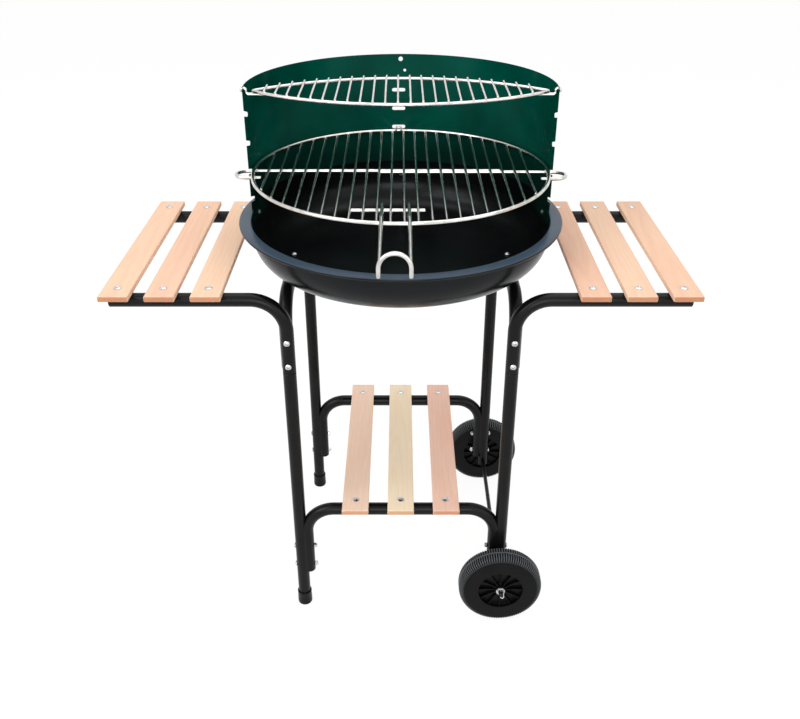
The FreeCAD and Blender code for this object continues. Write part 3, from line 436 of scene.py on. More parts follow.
def bentPath(corners, radii, arcDegrees=9, runStep=None):
    # a line through the corners with each one rounded
    corners = [Vector(c) for c in corners]
    points = [corners[0]]
    for index, bendRadius in enumerate(radii, start=1):
        corner = corners[index]
        back = (corners[index - 1] - corner).normalized()
        ahead = (corners[index + 1] - corner).normalized()
        half = back.angle(ahead) / 2
        reach = bendRadius / math.tan(half)
        centre = corner + (back + ahead).normalized() * (bendRadius / math.sin(half))
        start = corner + back * reach - centre
        axis = start.cross(corner + ahead * reach - centre).normalized()
        sweep = math.pi - 2 * half
        steps = max(2, round(math.degrees(sweep) / arcDegrees))
        for step in range(steps + 1):
            point = centre + Matrix.Rotation(sweep * step / steps, 3, axis) @ start
            if (point - points[-1]).length > 1e-6:
                points.append(point)
    if (corners[-1] - points[-1]).length > 1e-6:
        points.append(corners[-1])
    if not runStep:
        return points
    fine = [points[0]]
    for before, after in zip(points, points[1:]):
        count = max(1, round((after - before).length / runStep))
        fine += [before.lerp(after, step / count) for step in range(1, count + 1)]
    return fine


def sweepRings(bm, path, radii, sides, closed=False):
    # circles carried along a path without twisting
    count = len(path)
    tangents = []
    for index in range(count):
        before = path[index - 1] if closed or index else path[0]
        after = path[(index + 1) % count] if closed or index < count - 1 else path[-1]
        tangents.append((after - before).normalized())
    normal = tangents[0].orthogonal().normalized()
    rings = []
    for index, (centre, tangent) in enumerate(zip(path, tangents)):
        normal = (normal - tangent * normal.dot(tangent)).normalized()
        across = tangent.cross(normal)
        radius = radii[index] if isinstance(radii, list) else radii
        rings.append([bm.verts.new(centre + (normal * math.cos(a) + across * math.sin(a)) * radius)
                      for a in (2 * math.pi * side / sides for side in range(sides))])
    return rings


def wire(bm, path, radius, sides=12, closed=False, chamfer=0.25):
    # solid round wire; an open one gets cut ends with a small chamfer
    if closed:
        rings = sweepRings(bm, path, radius, sides, True)
        for index in range(len(rings)):
            bridgeRings(bm, rings[index - 1], rings[index])
        return
    edge = radius * chamfer
    startWay = (path[1] - path[0]).normalized() * edge
    endWay = (path[-2] - path[-1]).normalized() * edge
    full = [path[0], path[0] + startWay] + path[1:-1] + [path[-1] + endWay, path[-1]]
    radii = [radius - edge] + [radius] * (len(full) - 2) + [radius - edge]
    rings = sweepRings(bm, full, radii, sides)
    for first, second in zip(rings, rings[1:]):
        bridgeRings(bm, first, second)
    bm.faces.new(rings[0][::-1])
    bm.faces.new(rings[-1])


def hollowTube(bm, path, outer, inner, sides=28):
    # tube with its wall and open ends; returns the outer and inner points
    outside = sweepRings(bm, path, outer, sides)
    inside = sweepRings(bm, path, inner, sides)
    for rings in (outside, inside):
        for first, second in zip(rings, rings[1:]):
            bridgeRings(bm, first, second)
    bridgeRings(bm, outside[0], inside[0])
    bridgeRings(bm, outside[-1], inside[-1])
    return [v for r in outside for v in r], [v for r in inside for v in r]


def pressAway(verts, guide, clearRadius):
    # dents a tube end: no point stays nearer to the guide's line than clearRadius
    for vert in verts:
        nearest = None
        for before, after in zip(guide, guide[1:]):
            run = after - before
            share = max(0.0, min(1.0, (vert.co - before).dot(run) / run.length_squared))
            point = before + run * share
            if nearest is None or (vert.co - point).length < (vert.co - nearest).length:
                nearest = point
        away = vert.co - nearest
        if away.length < clearRadius:
            vert.co = nearest + away.normalized() * clearRadius


def copyInto(bm, mesh, places):
    for place in places:
        copied = mesh.copy()
        copied.transform(place)
        bm.from_mesh(copied)
        bpy.data.meshes.remove(copied)


def meshOf(bm, name):
    bmesh.ops.recalc_face_normals(bm, faces=bm.faces)
    mesh = bpy.data.meshes.new(name)
    bm.to_mesh(mesh)
    bm.free()
    return mesh


def centreOf(node):
    low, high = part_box(node)
    return (low + high) / 2


def sizeOf(node):
    low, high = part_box(node)
    return high - low


bowlAxis = centreOf("fire_bowl")
up = Vector((0, 0, 1))


def atBowl(x, y, z):
    # a point measured from the bowl's axis, with z from the ground
    return Vector((bowlAxis.x + x, bowlAxis.y + y, z))


# Fire bowl

bowlShape = {
    "sheet": 1.2 * mm,
    "flange": 20 * mm,
    "cornerShare": 0.224,           # corner radius over the wall's radius
    "bendRadius": 3.0 * mm,
    "beadRadius": 2.6 * mm,
    "segments": 192,
}


def makeBowl():
    low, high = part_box("fire_bowl")
    sheet, bendRadius, bead = bowlShape["sheet"], bowlShape["bendRadius"], bowlShape["beadRadius"]
    rimRadius = (high.x - low.x) / 2
    wall = rimRadius - bowlShape["flange"]
    corner = wall * bowlShape["cornerShare"]
    floorRadius, cornerZ = wall - corner, low.z + corner
    bendR, bendZ = wall - sheet + bendRadius, high.z - bendRadius
    beadR, beadZ = rimRadius - bead, high.z - bead
    closing = 180 - math.degrees(math.asin((bead - sheet) / bead))
    profile = [(0, low.z + sheet)]
    profile += [(floorRadius * share, low.z + sheet) for share in (0.25, 0.5, 0.75)]
    profile += arcPoints(floorRadius, cornerZ, corner - sheet, -90, 0, 18)
    profile += arcPoints(bendR, bendZ, bendRadius, 180, 90, 8)
    profile += arcPoints(beadR, beadZ, bead, 90, -180 + closing - 180, 18)
    profile += arcPoints(bendR, bendZ, bendRadius - sheet, 90, 180, 6)
    profile += arcPoints(floorRadius, cornerZ, corner, 0, -90, 18)
    profile += [(floorRadius * share, low.z) for share in (0.66, 0.33)]
    profile += [(0, low.z)]
    bm = bmesh.new()
    lathe(bm, profile, bowlShape["segments"], Matrix.Translation((bowlAxis.x, bowlAxis.y, 0)))
    finishPiece("enamelledBowl", bm, bowlEnamel, "trolley", ["fire_bowl"], 50)


makeBowl()
print("bowl made")


# Windshield

shieldShape = {
    "sheet": 0.8 * mm,
    "notchCount": 4,
    "notchPitch": 47 * mm,
    "notchRadius": 3.6 * mm,
    "notchSlope": 15,               # lower side of a notch, degrees
    "notchFlare": 17,               # upper side
    "slotCount": 3,
    "slotPitch": 34 * mm,
    "slotWidth": 24.5 * mm,
    "slotHeight": 6.34 * mm,
    "slotRise": 0.87 * mm,          # slot's middle above the hook's wire
    "hangHole": 4 * mm,
    "hangHoleDrop": 8.6 * mm,
    "smallHole": 2.5 * mm,
    "smallHoleDrop": 28.6 * mm,
    "smallHoleSide": 7.5 * mm,
    "hookNotch": 2.9 * mm,          # half the width of a warming hook's notch in the top edge
    "hookNotchDepth": 7.3 * mm,
    "columnDegrees": 1.5,
    "rowPitch": 16 * mm,
}


def insidePolygon(point, polygon):
    inside = False
    x, y = point
    for (ax, ay), (bx, by) in zip(polygon, polygon[1:] + polygon[:1]):
        if (ay > y) != (by > y) and x < (bx - ax) * (y - ay) / (by - ay) + ax:
            inside = not inside
    return inside


def notchOutline(seatBack, seatZ, edgeBack):
    # (distance behind the axis, height) from the notch's low lip round its seat to its high lip
    radius = shieldShape["notchRadius"]
    points = []
    slope, flare = math.radians(shieldShape["notchSlope"]), math.radians(shieldShape["notchFlare"])
    steps = 12
    sweep = math.pi + slope - flare
    for step in range(steps + 1):
        angle = -math.pi / 2 - slope + sweep * step / steps
        points.append((seatBack + radius * math.cos(angle), seatZ + radius * math.sin(angle)))
    lowY, lowZ = points[0]
    highY, highZ = points[-1]
    low = (edgeBack, lowZ + (lowY - edgeBack) * math.tan(slope))
    high = (edgeBack, highZ + (highY - edgeBack) * math.tan(flare))
    return [low] + points + [high]


def makeWindshield():
    low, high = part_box("windshield")
    outer = (high.x - low.x) / 2
    inner = outer - shieldShape["sheet"]
    middle = (outer + inner) / 2
    edgeBack = low.y - bowlAxis.y
    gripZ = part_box("grate_crossbar_left")[0].z + sizeOf("grate_anchor_bar").z / 2
    hookLow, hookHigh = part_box("grate_hook")
    slotZ = (hookLow.z + hookHigh.z) / 2 + shieldShape["slotRise"]
    slotSide = (hookLow.x + hookHigh.x) / 2 - bowlAxis.x
    seats = {1: centreBack("grate_crossbar_right"), -1: centreBack("grate_crossbar_left")}

    def along(back, side):
        angle = math.asin(back / middle)
        return middle * (angle if side > 0 else math.pi - angle)

    start, end = along(edgeBack, 1), along(edgeBack, -1)
    columns = round(math.degrees((end - start) / middle) / shieldShape["columnDegrees"])
    across = [start + (end - start) * index / columns for index in range(columns + 1)]
    outline = [(u, low.z) for u in across]
    for side, order in ((-1, 1), (1, -1)):
        notches = []
        for level in range(shieldShape["notchCount"]):
            seatZ = gripZ + (level - 1) * shieldShape["notchPitch"]
            notch = notchOutline(seats[side], seatZ, edgeBack)
            notches += [(along(back, side), z) for back, z in notch]
        outline += notches[::order]
        if side < 0:
            notchHalf, notchZ = shieldShape["hookNotch"], high.z - shieldShape["hookNotchDepth"]
            hooksU = (along(0, 1), along(0, -1))
            top = [(u, high.z) for u in across if min(abs(u - hookU) for hookU in hooksU) > notchHalf]
            for u in hooksU:
                top += [(u + notchHalf, high.z), (u + notchHalf, notchZ),
                        (u - notchHalf, notchZ), (u - notchHalf, high.z)]
            outline += sorted(top, key=lambda point: -point[0])
    holes = []
    backU = middle * math.pi / 2
    half = shieldShape["slotHeight"] / 2
    run = shieldShape["slotWidth"] / 2 - half
    slotU = backU - slotSide        # the sheet runs round from right to left
    for level in range(shieldShape["slotCount"]):
        z = slotZ + level * shieldShape["slotPitch"]
        ends = arcPoints(slotU + run, z, half, -90, 90, 8) + arcPoints(slotU - run, z, half, 90, 270, 8)
        holes.append(ends)
    holes.append(arcPoints(backU, high.z - shieldShape["hangHoleDrop"], shieldShape["hangHole"], 0, 345, 23))
    holes.append(arcPoints(backU - shieldShape["smallHoleSide"], high.z - shieldShape["smallHoleDrop"],
                           shieldShape["smallHole"], 0, 342, 19))
    points, edges = [], []
    for loop in [outline] + holes:
        first = len(points)
        points += loop
        edges += [(first + index, first + (index + 1) % len(loop)) for index in range(len(loop))]
    rows = round((high.z - low.z) / shieldShape["rowPitch"])
    border = list(points)
    for u in across[1:-1]:
        for row in range(1, rows):
            z = low.z + (high.z - low.z) * row / rows
            clear = all(abs(u - bu) + abs(z - bz) > 3 * mm for bu, bz in border
                        if abs(u - bu) < 4 * mm)
            if clear and insidePolygon((u, z), outline) and not any(insidePolygon((u, z), h) for h in holes):
                points.append((u, z))
    scale = 1000                    # the triangulation works better on larger numbers
    result = delaunay_2d_cdt([Vector((u * scale, z * scale)) for u, z in points], edges, [], 0, 1e-5)
    flatPoints = [(p.x / scale, p.y / scale) for p in result[0]]
    triangles = []
    for face in result[2]:
        centre = (sum(flatPoints[i][0] for i in face) / 3, sum(flatPoints[i][1] for i in face) / 3)
        if insidePolygon(centre, outline) and not any(insidePolygon(centre, h) for h in holes):
            triangles.append(face)
    bm = bmesh.new()
    skins = []
    for radius in (outer, inner):
        skins.append([bm.verts.new(atBowl(radius * math.cos(u / middle), radius * math.sin(u / middle), z))
                      for u, z in flatPoints])
    edgeCount = {}
    for face in triangles:
        bm.faces.new([skins[0][i] for i in face])
        bm.faces.new([skins[1][i] for i in reversed(face)])
        for a, b in zip(face, face[1:] + face[:1]):
            edgeCount[(a, b)] = edgeCount.get((a, b), 0) + 1
    for a, b in edgeCount:
        if (b, a) not in edgeCount:
            bm.faces.new((skins[0][b], skins[0][a], skins[1][a], skins[1][b]))
    loose = [v for v in bm.verts if not v.link_faces]
    bmesh.ops.delete(bm, geom=loose, context="VERTS")
    piece = finishPiece("greenWindshield", bm, shieldEnamel, "trolley",
                        ["windshield"], 40)
    mesh = piece.data
    normals = []
    for polygon in mesh.polygons:
        for vertIndex in polygon.vertices:
            point = mesh.vertices[vertIndex].co
            radial = Vector((point.x - bowlAxis.x, point.y - bowlAxis.y, 0)).normalized()
            facing = polygon.normal.dot(radial)
            flat = len(polygon.vertices) != 3
            normals.append(polygon.normal if flat else radial * math.copysign(1, facing))
    mesh.normals_split_custom_set(normals)


def centreBack(node):
    # the bar that lies across is the one farther back in the loop's wire
    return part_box(node)[1].y - sizeOf("grate_anchor_bar").y / 2 - bowlAxis.y


makeWindshield()
print("windshield made")


# Screws, bolts, nuts

boltShape = {
    "shank": 2.5 * mm,
    "headRadius": 5 * mm,
    "headHeight": 3.2 * mm,
    "nutFlats": 8 * mm,
    "nutHeight": 4 * mm,
    "stickout": 1.5 * mm,
    "slatHeadRadius": 6.2 * mm,
    "slatHeadHeight": 2.2 * mm,
    "slatScrewTip": 4 * mm,
    "shieldShank": 2 * mm,
    "shieldHeadRadius": 4 * mm,
    "shieldHeadHeight": 2.2 * mm,
    "shieldNutFlats": 7 * mm,
    "shieldNutHeight": 3.2 * mm,
    "shieldScrewBack": 38 * mm,     # end screws behind the bowl's axis
    "recessWidth": 0.32,            # arms of the cross recess, as shares of the head
    "recessLength": 1.1,
}


def crossScrew(name, headRadius, headHeight, shankRadius, shankLength, tip=0):
    # head above the origin with a crowned top and a cross recess, shank below
    edge = headHeight * 0.3
    crown = headHeight - edge
    crownRadius = (headRadius ** 2 + crown ** 2) / (2 * crown)
    edgeAngle = math.degrees(math.asin((crownRadius - crown) / crownRadius))
    dome = arcPoints(0, headHeight - crownRadius, crownRadius, 90, edgeAngle, 8)
    profile = [(0, headHeight)] + dome[1:]
    profile += [(headRadius, edge * 0.5), (headRadius - 0.25 * mm, 0), (shankRadius, 0)]
    thread = []
    pitch, depth = 0.8 * mm, 0.18 * mm
    height = -pitch
    while height > tip - shankLength + pitch:
        thread += [(shankRadius, height), (shankRadius - depth, height - pitch / 2)]
        height -= pitch
    point = 0.3 * mm if tip else shankRadius - depth
    profile += thread + [(shankRadius - depth, tip - shankLength - 0.01 * mm), (point, -shankLength),
                         (0, -shankLength)]
    bm = bmesh.new()
    lathe(bm, profile, 28, Matrix.Identity(4))
    head = bpy.data.objects.new(name, meshOf(bm, name))
    bpy.context.scene.collection.objects.link(head)
    cutter = bmesh.new()
    wide, long = headRadius * boltShape["recessWidth"], headRadius * boltShape["recessLength"]
    bottom = headHeight * 0.42
    corners = []
    for quarter in range(4):
        spin = Matrix.Rotation(quarter * math.pi / 2, 2)
        for x, y in ((long / 2, -wide / 2), (long / 2, wide / 2), (wide / 2, wide / 2)):
            corners.append(spin @ Vector((x, y)))
    lowRing = [cutter.verts.new((c.x * 0.6, c.y * 0.6, bottom)) for c in corners]
    highRing = [cutter.verts.new((c.x * 1.05, c.y * 1.05, headHeight + 0.5 * mm)) for c in corners]
    cutter.faces.new(lowRing)
    cutter.faces.new(highRing)
    bridgeRings(cutter, lowRing, highRing)
    tool = bpy.data.objects.new(name + "Recess", meshOf(cutter, name + "Recess"))
    bpy.context.scene.collection.objects.link(tool)
    cut = head.modifiers.new("recess", "BOOLEAN")
    cut.operation, cut.solver, cut.object = "DIFFERENCE", "EXACT", tool
    bpy.context.view_layer.update()
    finished = bpy.data.meshes.new_from_object(head.evaluated_get(bpy.context.evaluated_depsgraph_get()))
    bpy.data.objects.remove(head)
    bpy.data.objects.remove(tool)
    return finished


def hexNut(name, boreRadius, flats, height):
    # chamfered hexagon with a countersunk bore
    apothem = flats / 2
    circle = apothem * 1.02

    def hexagon(radius, rise, angle):
        if radius < circle:
            return radius, rise
        reach = apothem / math.cos((angle % (math.pi / 3)) - math.pi / 6)
        drop = max(0.0, reach - circle) * math.tan(math.radians(30))
        return reach, drop if rise < height / 2 else height - drop

    sink = 0.35 * mm
    rim = circle * 0.999
    profile = [(boreRadius, sink), (boreRadius + sink, 0), (rim, 0), (flats, 0), (flats, height),
               (rim, height), (boreRadius + sink, height), (boreRadius, height - sink)]
    bm = bmesh.new()
    lathe(bm, profile, 48, Matrix.Identity(4), True, hexagon)
    return meshOf(bm, name)


def placeFasteners(boltNode, nutNode, boltName, nutName, screw, nut, seats, grip):
    # seats: (point under the head, direction the shank goes)
    boltPlaces, nutPlaces = [], []
    for index, (seat, direction) in enumerate(seats):
        twist = Matrix.Rotation(index * 0.9, 4, "Z")
        direction = Vector(direction)
        boltPlaces.append(turn(seat, -direction) @ twist)
        nutPlaces.append(turn(Vector(seat) + direction * grip, direction) @ twist)
    sets = [(boltNode, boltName, screw, boltPlaces)]
    if nutNode:
        sets.append((nutNode, nutName, nut, nutPlaces))
    for node, name, mesh, places in sets:
        bm = bmesh.new()
        copyInto(bm, mesh, places)
        finishPiece(name, bm, zincPlate, "trolley", [node], 30)


def legCorners():
    return [(side, end, centreOf("leg_%s_%s" % (endName, sideName)))
            for sideName, side in (("left", -1), ("right", 1))
            for endName, end in (("front", -1), ("rear", 1))]


def nutFace(node, axis):
    # how far from the bowl's axis a joint's nuts bear on the inner tube
    return getattr(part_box(node)[1], axis) - getattr(bowlAxis, axis)


tubeRadius = sizeOf("leg_front_left").x / 2


def makeFasteners():
    shape = boltShape
    nut = hexNut("frameNut", shape["shank"], shape["nutFlats"], shape["nutHeight"])
    extra = shape["nutHeight"] + shape["stickout"]

    low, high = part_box("joint_bolts")
    heights = (low.z + shape["headRadius"], high.z - shape["headRadius"])
    seats = []
    for side, end, centre in legCorners():
        outerY = centre.y + end * tubeRadius
        for z in heights:
            seats.append((Vector((centre.x, outerY, z)), (0, -end, 0)))
    grip = abs(seats[0][0].y - bowlAxis.y) - nutFace("joint_nuts", "y")
    screw = crossScrew("jointScrew", shape["headRadius"], shape["headHeight"], shape["shank"], grip + extra)
    placeFasteners("joint_bolts", "joint_nuts", "jointBolts", "jointNuts", screw, nut, seats, grip)

    low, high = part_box("shelf_tube_bolts")
    heights = (low.z + shape["headRadius"], high.z - shape["headRadius"])
    seats = []
    for side, end, centre in legCorners():
        for z in heights:
            seats.append((Vector((centre.x + side * tubeRadius, centre.y, z)), (-side, 0, 0)))
    grip = abs(seats[0][0].x) - nutFace("shelf_tube_nuts", "x")
    screw = crossScrew("shelfScrew", shape["headRadius"], shape["headHeight"], shape["shank"], grip + extra)
    placeFasteners("shelf_tube_bolts", "shelf_tube_nuts", "shelfTubeBolts", "shelfTubeNuts",
                   screw, nut, seats, grip)

    for boards, node, name in (
            (["table_slat_%s_%d" % (s, n) for s in ("left", "right") for n in (1, 2, 3)],
             "table_screws", "tableScrews"),
            (["shelf_slat_%d" % n for n in (1, 2, 3)], "shelf_screws", "shelfScrews")):
        seats = []
        for board in boards:
            low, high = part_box(board)
            for leg in ("leg_front_left", "leg_rear_left"):
                seats.append((Vector(((low.x + high.x) / 2, centreOf(leg).y, high.z)), (0, 0, -1)))
        screw = crossScrew(name + "One", shape["slatHeadRadius"], shape["slatHeadHeight"], shape["shank"],
                           sizeOf(node).z - shape["slatHeadHeight"], shape["slatScrewTip"])
        placeFasteners(node, None, name, None, screw, None, seats, 0)

    low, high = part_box("fire_bowl")
    floorTop = low.z + bowlShape["sheet"]
    seats = [(Vector((centreOf("cradle_" + name).x, bowlAxis.y, floorTop)), (0, 0, -1))
             for name in ("left", "right")]
    grip = bowlShape["sheet"] + 2 * tubeRadius
    screw = crossScrew("bowlScrew", shape["headRadius"], shape["headHeight"], shape["shank"], grip + extra)
    placeFasteners("bowl_bolts", "bowl_nuts", "bowlBolts", "bowlNuts", screw, nut, seats, grip)

    wall = (high.x - low.x) / 2 - bowlShape["flange"]
    shieldInner = sizeOf("windshield").x / 2 - shieldShape["sheet"]
    seatRadius = math.sqrt(shieldInner ** 2 - shape["shieldHeadRadius"] ** 2)
    z = centreOf("windshield_screws").z
    swing = math.asin(shape["shieldScrewBack"] / (wall - bowlShape["sheet"]))
    seats = []
    for angle in (swing, math.pi / 2, math.pi - swing):
        outward = Vector((math.cos(angle), math.sin(angle), 0))
        seats.append((atBowl(0, 0, z) + outward * seatRadius, outward))
    grip = wall - seatRadius
    shieldExtra = shape["shieldNutHeight"] + shape["stickout"]
    screw = crossScrew("shieldScrew", shape["shieldHeadRadius"], shape["shieldHeadHeight"],
                       shape["shieldShank"], grip + shieldExtra)
    shieldNut = hexNut("shieldNut", shape["shieldShank"], shape["shieldNutFlats"], shape["shieldNutHeight"])
    placeFasteners("windshield_screws", "windshield_nuts", "windshieldScrews", "windshieldNuts",
                   screw, shieldNut, seats, grip)


makeFasteners()
print("fasteners made")


# Tube frame

tubeShape = {
    "wall": 1.2 * mm,
    "armBend": 55 * mm,
    "cradleBend": 50 * mm,
    "shelfBend": 50 * mm,
    "swageRadius": 9.7 * mm,
    "swageCone": 1.5 * mm,
    "dentGap": 0.1 * mm,
    "step": 7 * mm,                 # rings along a tube, close enough for a smooth dent
}
tubeBore = tubeRadius - tubeShape["wall"]


def armCorners(endName, sideName):
    side = -1 if sideName == "left" else 1
    low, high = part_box("arm_%s_%s" % (endName, sideName))
    legCentre = centreOf("leg_%s_%s" % (endName, sideName))
    outerX = low.x if side < 0 else high.x
    topZ = high.z - tubeRadius
    return [Vector((outerX, legCentre.y, topZ)), Vector((legCentre.x, legCentre.y, topZ)),
            Vector((legCentre.x, legCentre.y, low.z))]


def dentTube(outside, inside, guide):
    clear = tubeRadius + tubeShape["dentGap"]
    pressAway(outside, guide, clear)
    pressAway(inside, guide, clear + tubeShape["wall"])


def makeFrame():
    for sideName in ("left", "right"):
        guides = []
        for endName in ("front", "rear"):
            corners = armCorners(endName, sideName)
            bm = bmesh.new()
            path = bentPath(corners, [tubeShape["armBend"]], 5)
            hollowTube(bm, path, tubeRadius, tubeBore)
            name = "arm_%s_%s" % (endName, sideName)
            finishPiece("armTube_%s_%s" % (endName, sideName), bm, powderCoat, "trolley",
                        [name])
            guides.append(path)
            leg = "leg_%s_%s" % (endName, sideName)
            low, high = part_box(leg)
            centre = (low + high) / 2
            armEnd = corners[2].z
            heights = [low.z, armEnd - tubeShape["swageCone"], armEnd, high.z]
            wall = tubeShape["wall"]
            radii = [tubeRadius, tubeRadius, tubeShape["swageRadius"], tubeShape["swageRadius"]]
            profile = list(zip(radii, heights)) + [(r - wall, z) for r, z in zip(radii, heights)][::-1]
            bm = bmesh.new()
            lathe(bm, profile, 28, Matrix.Translation((centre.x, centre.y, 0)), True)
            finishPiece("legTube_%s_%s" % (endName, sideName), bm, powderCoat, "trolley",
                        [leg])
        cradle = "cradle_" + sideName
        low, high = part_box(cradle)
        x = (low.x + high.x) / 2
        topZ = high.z - tubeRadius
        endY = nutFace("joint_nuts", "y") + tubeRadius
        corners = [atBowl(0, -endY, low.z), atBowl(0, -endY, topZ),
                   atBowl(0, endY, topZ), atBowl(0, endY, low.z)]
        for corner in corners:
            corner.x = x
        bm = bmesh.new()
        path = bentPath(corners, [tubeShape["cradleBend"]] * 2, 5, tubeShape["step"])
        outside, inside = hollowTube(bm, path, tubeRadius, tubeBore)
        for guide in guides:
            dentTube(outside, inside, guide)
        finishPiece("cradleTube_" + sideName, bm, powderCoat, "trolley", [cradle])
    for endName in ("front", "rear"):
        node = "shelf_tube_" + endName
        low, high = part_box(node)
        y = centreOf("leg_%s_left" % endName).y
        topZ = high.z - tubeRadius
        endX = nutFace("shelf_tube_nuts", "x") + tubeRadius
        corners = [Vector((-endX, y, low.z)), Vector((-endX, y, topZ)),
                   Vector((endX, y, topZ)), Vector((endX, y, low.z))]
        bm = bmesh.new()
        path = bentPath(corners, [tubeShape["shelfBend"]] * 2, 5, tubeShape["step"])
        outside, inside = hollowTube(bm, path, tubeRadius, tubeBore)
        for sideName in ("left", "right"):
            legLow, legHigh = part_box("leg_%s_%s" % (endName, sideName))
            x = (legLow.x + legHigh.x) / 2
            dentTube(outside, inside, [Vector((x, y, legLow.z)), Vector((x, y, legHigh.z))])
        finishPiece("shelfTube_" + endName, bm, powderCoat, "trolley", [node])


makeFrame()
print("frame made")


# Slats

slatShape = {
    "edge": 1.5 * mm,
    "bow": 0.25 * mm,               # lift in the middle of a board's length
    "cup": 0.12 * mm,
    "pressWidth": 9 * mm,           # hollow that a tightened screw leaves
    "pressDepth": 0.35 * mm,
    "lengthSteps": 96,
    "widthSteps": 12,
}
pineTones = [
    # early wood, late wood, blush, and the pith's place and tilt for each board in turn
    ("#e9c4a8", "#d8a582", "#e3b39b", (0.010, 0.0, 0.034), (0.03, 0.0, 0.02)),
    ("#e8c1a6", "#d5a07e", "#e1af98", (-0.018, 0.0, 0.041), (-0.02, 0.0, 0.03)),
    ("#ebc8ab", "#daaa85", "#e5b9a0", (0.025, 0.0, -0.03), (0.04, 0.0, -0.02)),
    ("#e7c2a6", "#d4a07c", "#e1b098", (-0.006, 0.0, 0.05), (0.02, 0.0, 0.04)),
    ("#e9c6aa", "#d8a884", "#e4b69e", (0.03, 0.0, 0.026), (-0.03, 0.0, -0.02)),
    ("#e6bea3", "#d29c7a", "#dfab94", (0.004, 0.0, -0.046), (0.03, 0.0, -0.03)),
    ("#fadcc4", "#efc2a0", "#f6ccb6", (-0.028, 0.0, 0.033), (0.02, 0.0, 0.02)),
    ("#fbe9cc", "#f2d2a6", "#f8ddbf", (0.015, 0.0, -0.038), (-0.04, 0.0, 0.03)),
    ("#f5cfba", "#e6b096", "#efbba4", (-0.02, 0.0, -0.028), (0.03, 0.0, 0.03)),
]


def makeSlat(name, node, tones):
    low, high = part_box(node)
    middle, size = (low + high) / 2, high - low
    edge = slatShape["edge"]
    screws = [centreOf(leg).y for leg in ("leg_front_left", "leg_rear_left")]
    bm = bmesh.new()
    bmesh.ops.create_cube(bm, size=1, matrix=Matrix.Translation(middle) @ Matrix.Diagonal((*size, 1)))
    bmesh.ops.bevel(bm, geom=bm.edges[:], offset=edge, segments=3, profile=0.5, affect="EDGES")
    for axis, count in ((1, slatShape["lengthSteps"]), (0, slatShape["widthSteps"])):
        for step in range(1, count):
            cut = low.copy()
            cut[axis] = low[axis] + edge + (size[axis] - 2 * edge) * step / count
            normal = Vector((0, 0, 0))
            normal[axis] = 1
            bmesh.ops.bisect_plane(bm, geom=bm.verts[:] + bm.edges[:] + bm.faces[:],
                                   plane_co=cut, plane_no=normal)
    chance = random.Random(name)
    bow, cup = slatShape["bow"] * chance.uniform(-1, 1), slatShape["cup"] * chance.uniform(-1, 1)
    for vert in bm.verts:
        alongShare = (vert.co.y - middle.y) / (size.y / 2)
        acrossShare = (vert.co.x - middle.x) / (size.x / 2)
        fall = -abs(bow) * (1 - alongShare ** 2) * 0.5 - abs(cup) * (1 - acrossShare ** 2)
        if vert.co.z > middle.z:
            for y in screws:
                away = math.hypot(vert.co.x - middle.x, vert.co.y - y) / slatShape["pressWidth"]
                if away < 1:
                    fall -= slatShape["pressDepth"] * (math.cos(away * math.pi) + 1) / 2
            vert.co.z += fall
    early, late, blush, pith, tilt = tones
    place = (-middle.x + pith[0], -middle.y, -middle.z + pith[2])
    wood = planedPine("planedPine_" + name, early, late, blush, place, tilt)
    finishPiece(name, bm, wood, "trolley", [node], 25)


slatNodes = ["table_slat_%s_%d" % (s, n) for s in ("left", "right") for n in (1, 2, 3)]
slatNodes += ["shelf_slat_%d" % n for n in (1, 2, 3)]
for node, tones in zip(slatNodes, pineTones):
    makeSlat("pine_" + node, node, tones)
print("slats made")


# Wheels, axle and feet

wheelShape = {
    "wall": 2.5 * mm,
    "shoulder": 12 * mm,
    "hub": 9 * mm,
    "recess": 40 * mm,
    "recessDepth": 9 * mm,
    "bore": 4.05 * mm,
    "ribs": 104,
    "ribDepth": 1.7 * mm,
    "ribSpread": 72,                # degrees the ribs run on over the shoulder
    "pointsPerRib": 6,
    "seamWidth": 1.2 * mm,
    "fins": 12,
    "finThickness": 2 * mm,
    "finDrop": 2 * mm,
    "lip": 0.8 * mm,
}


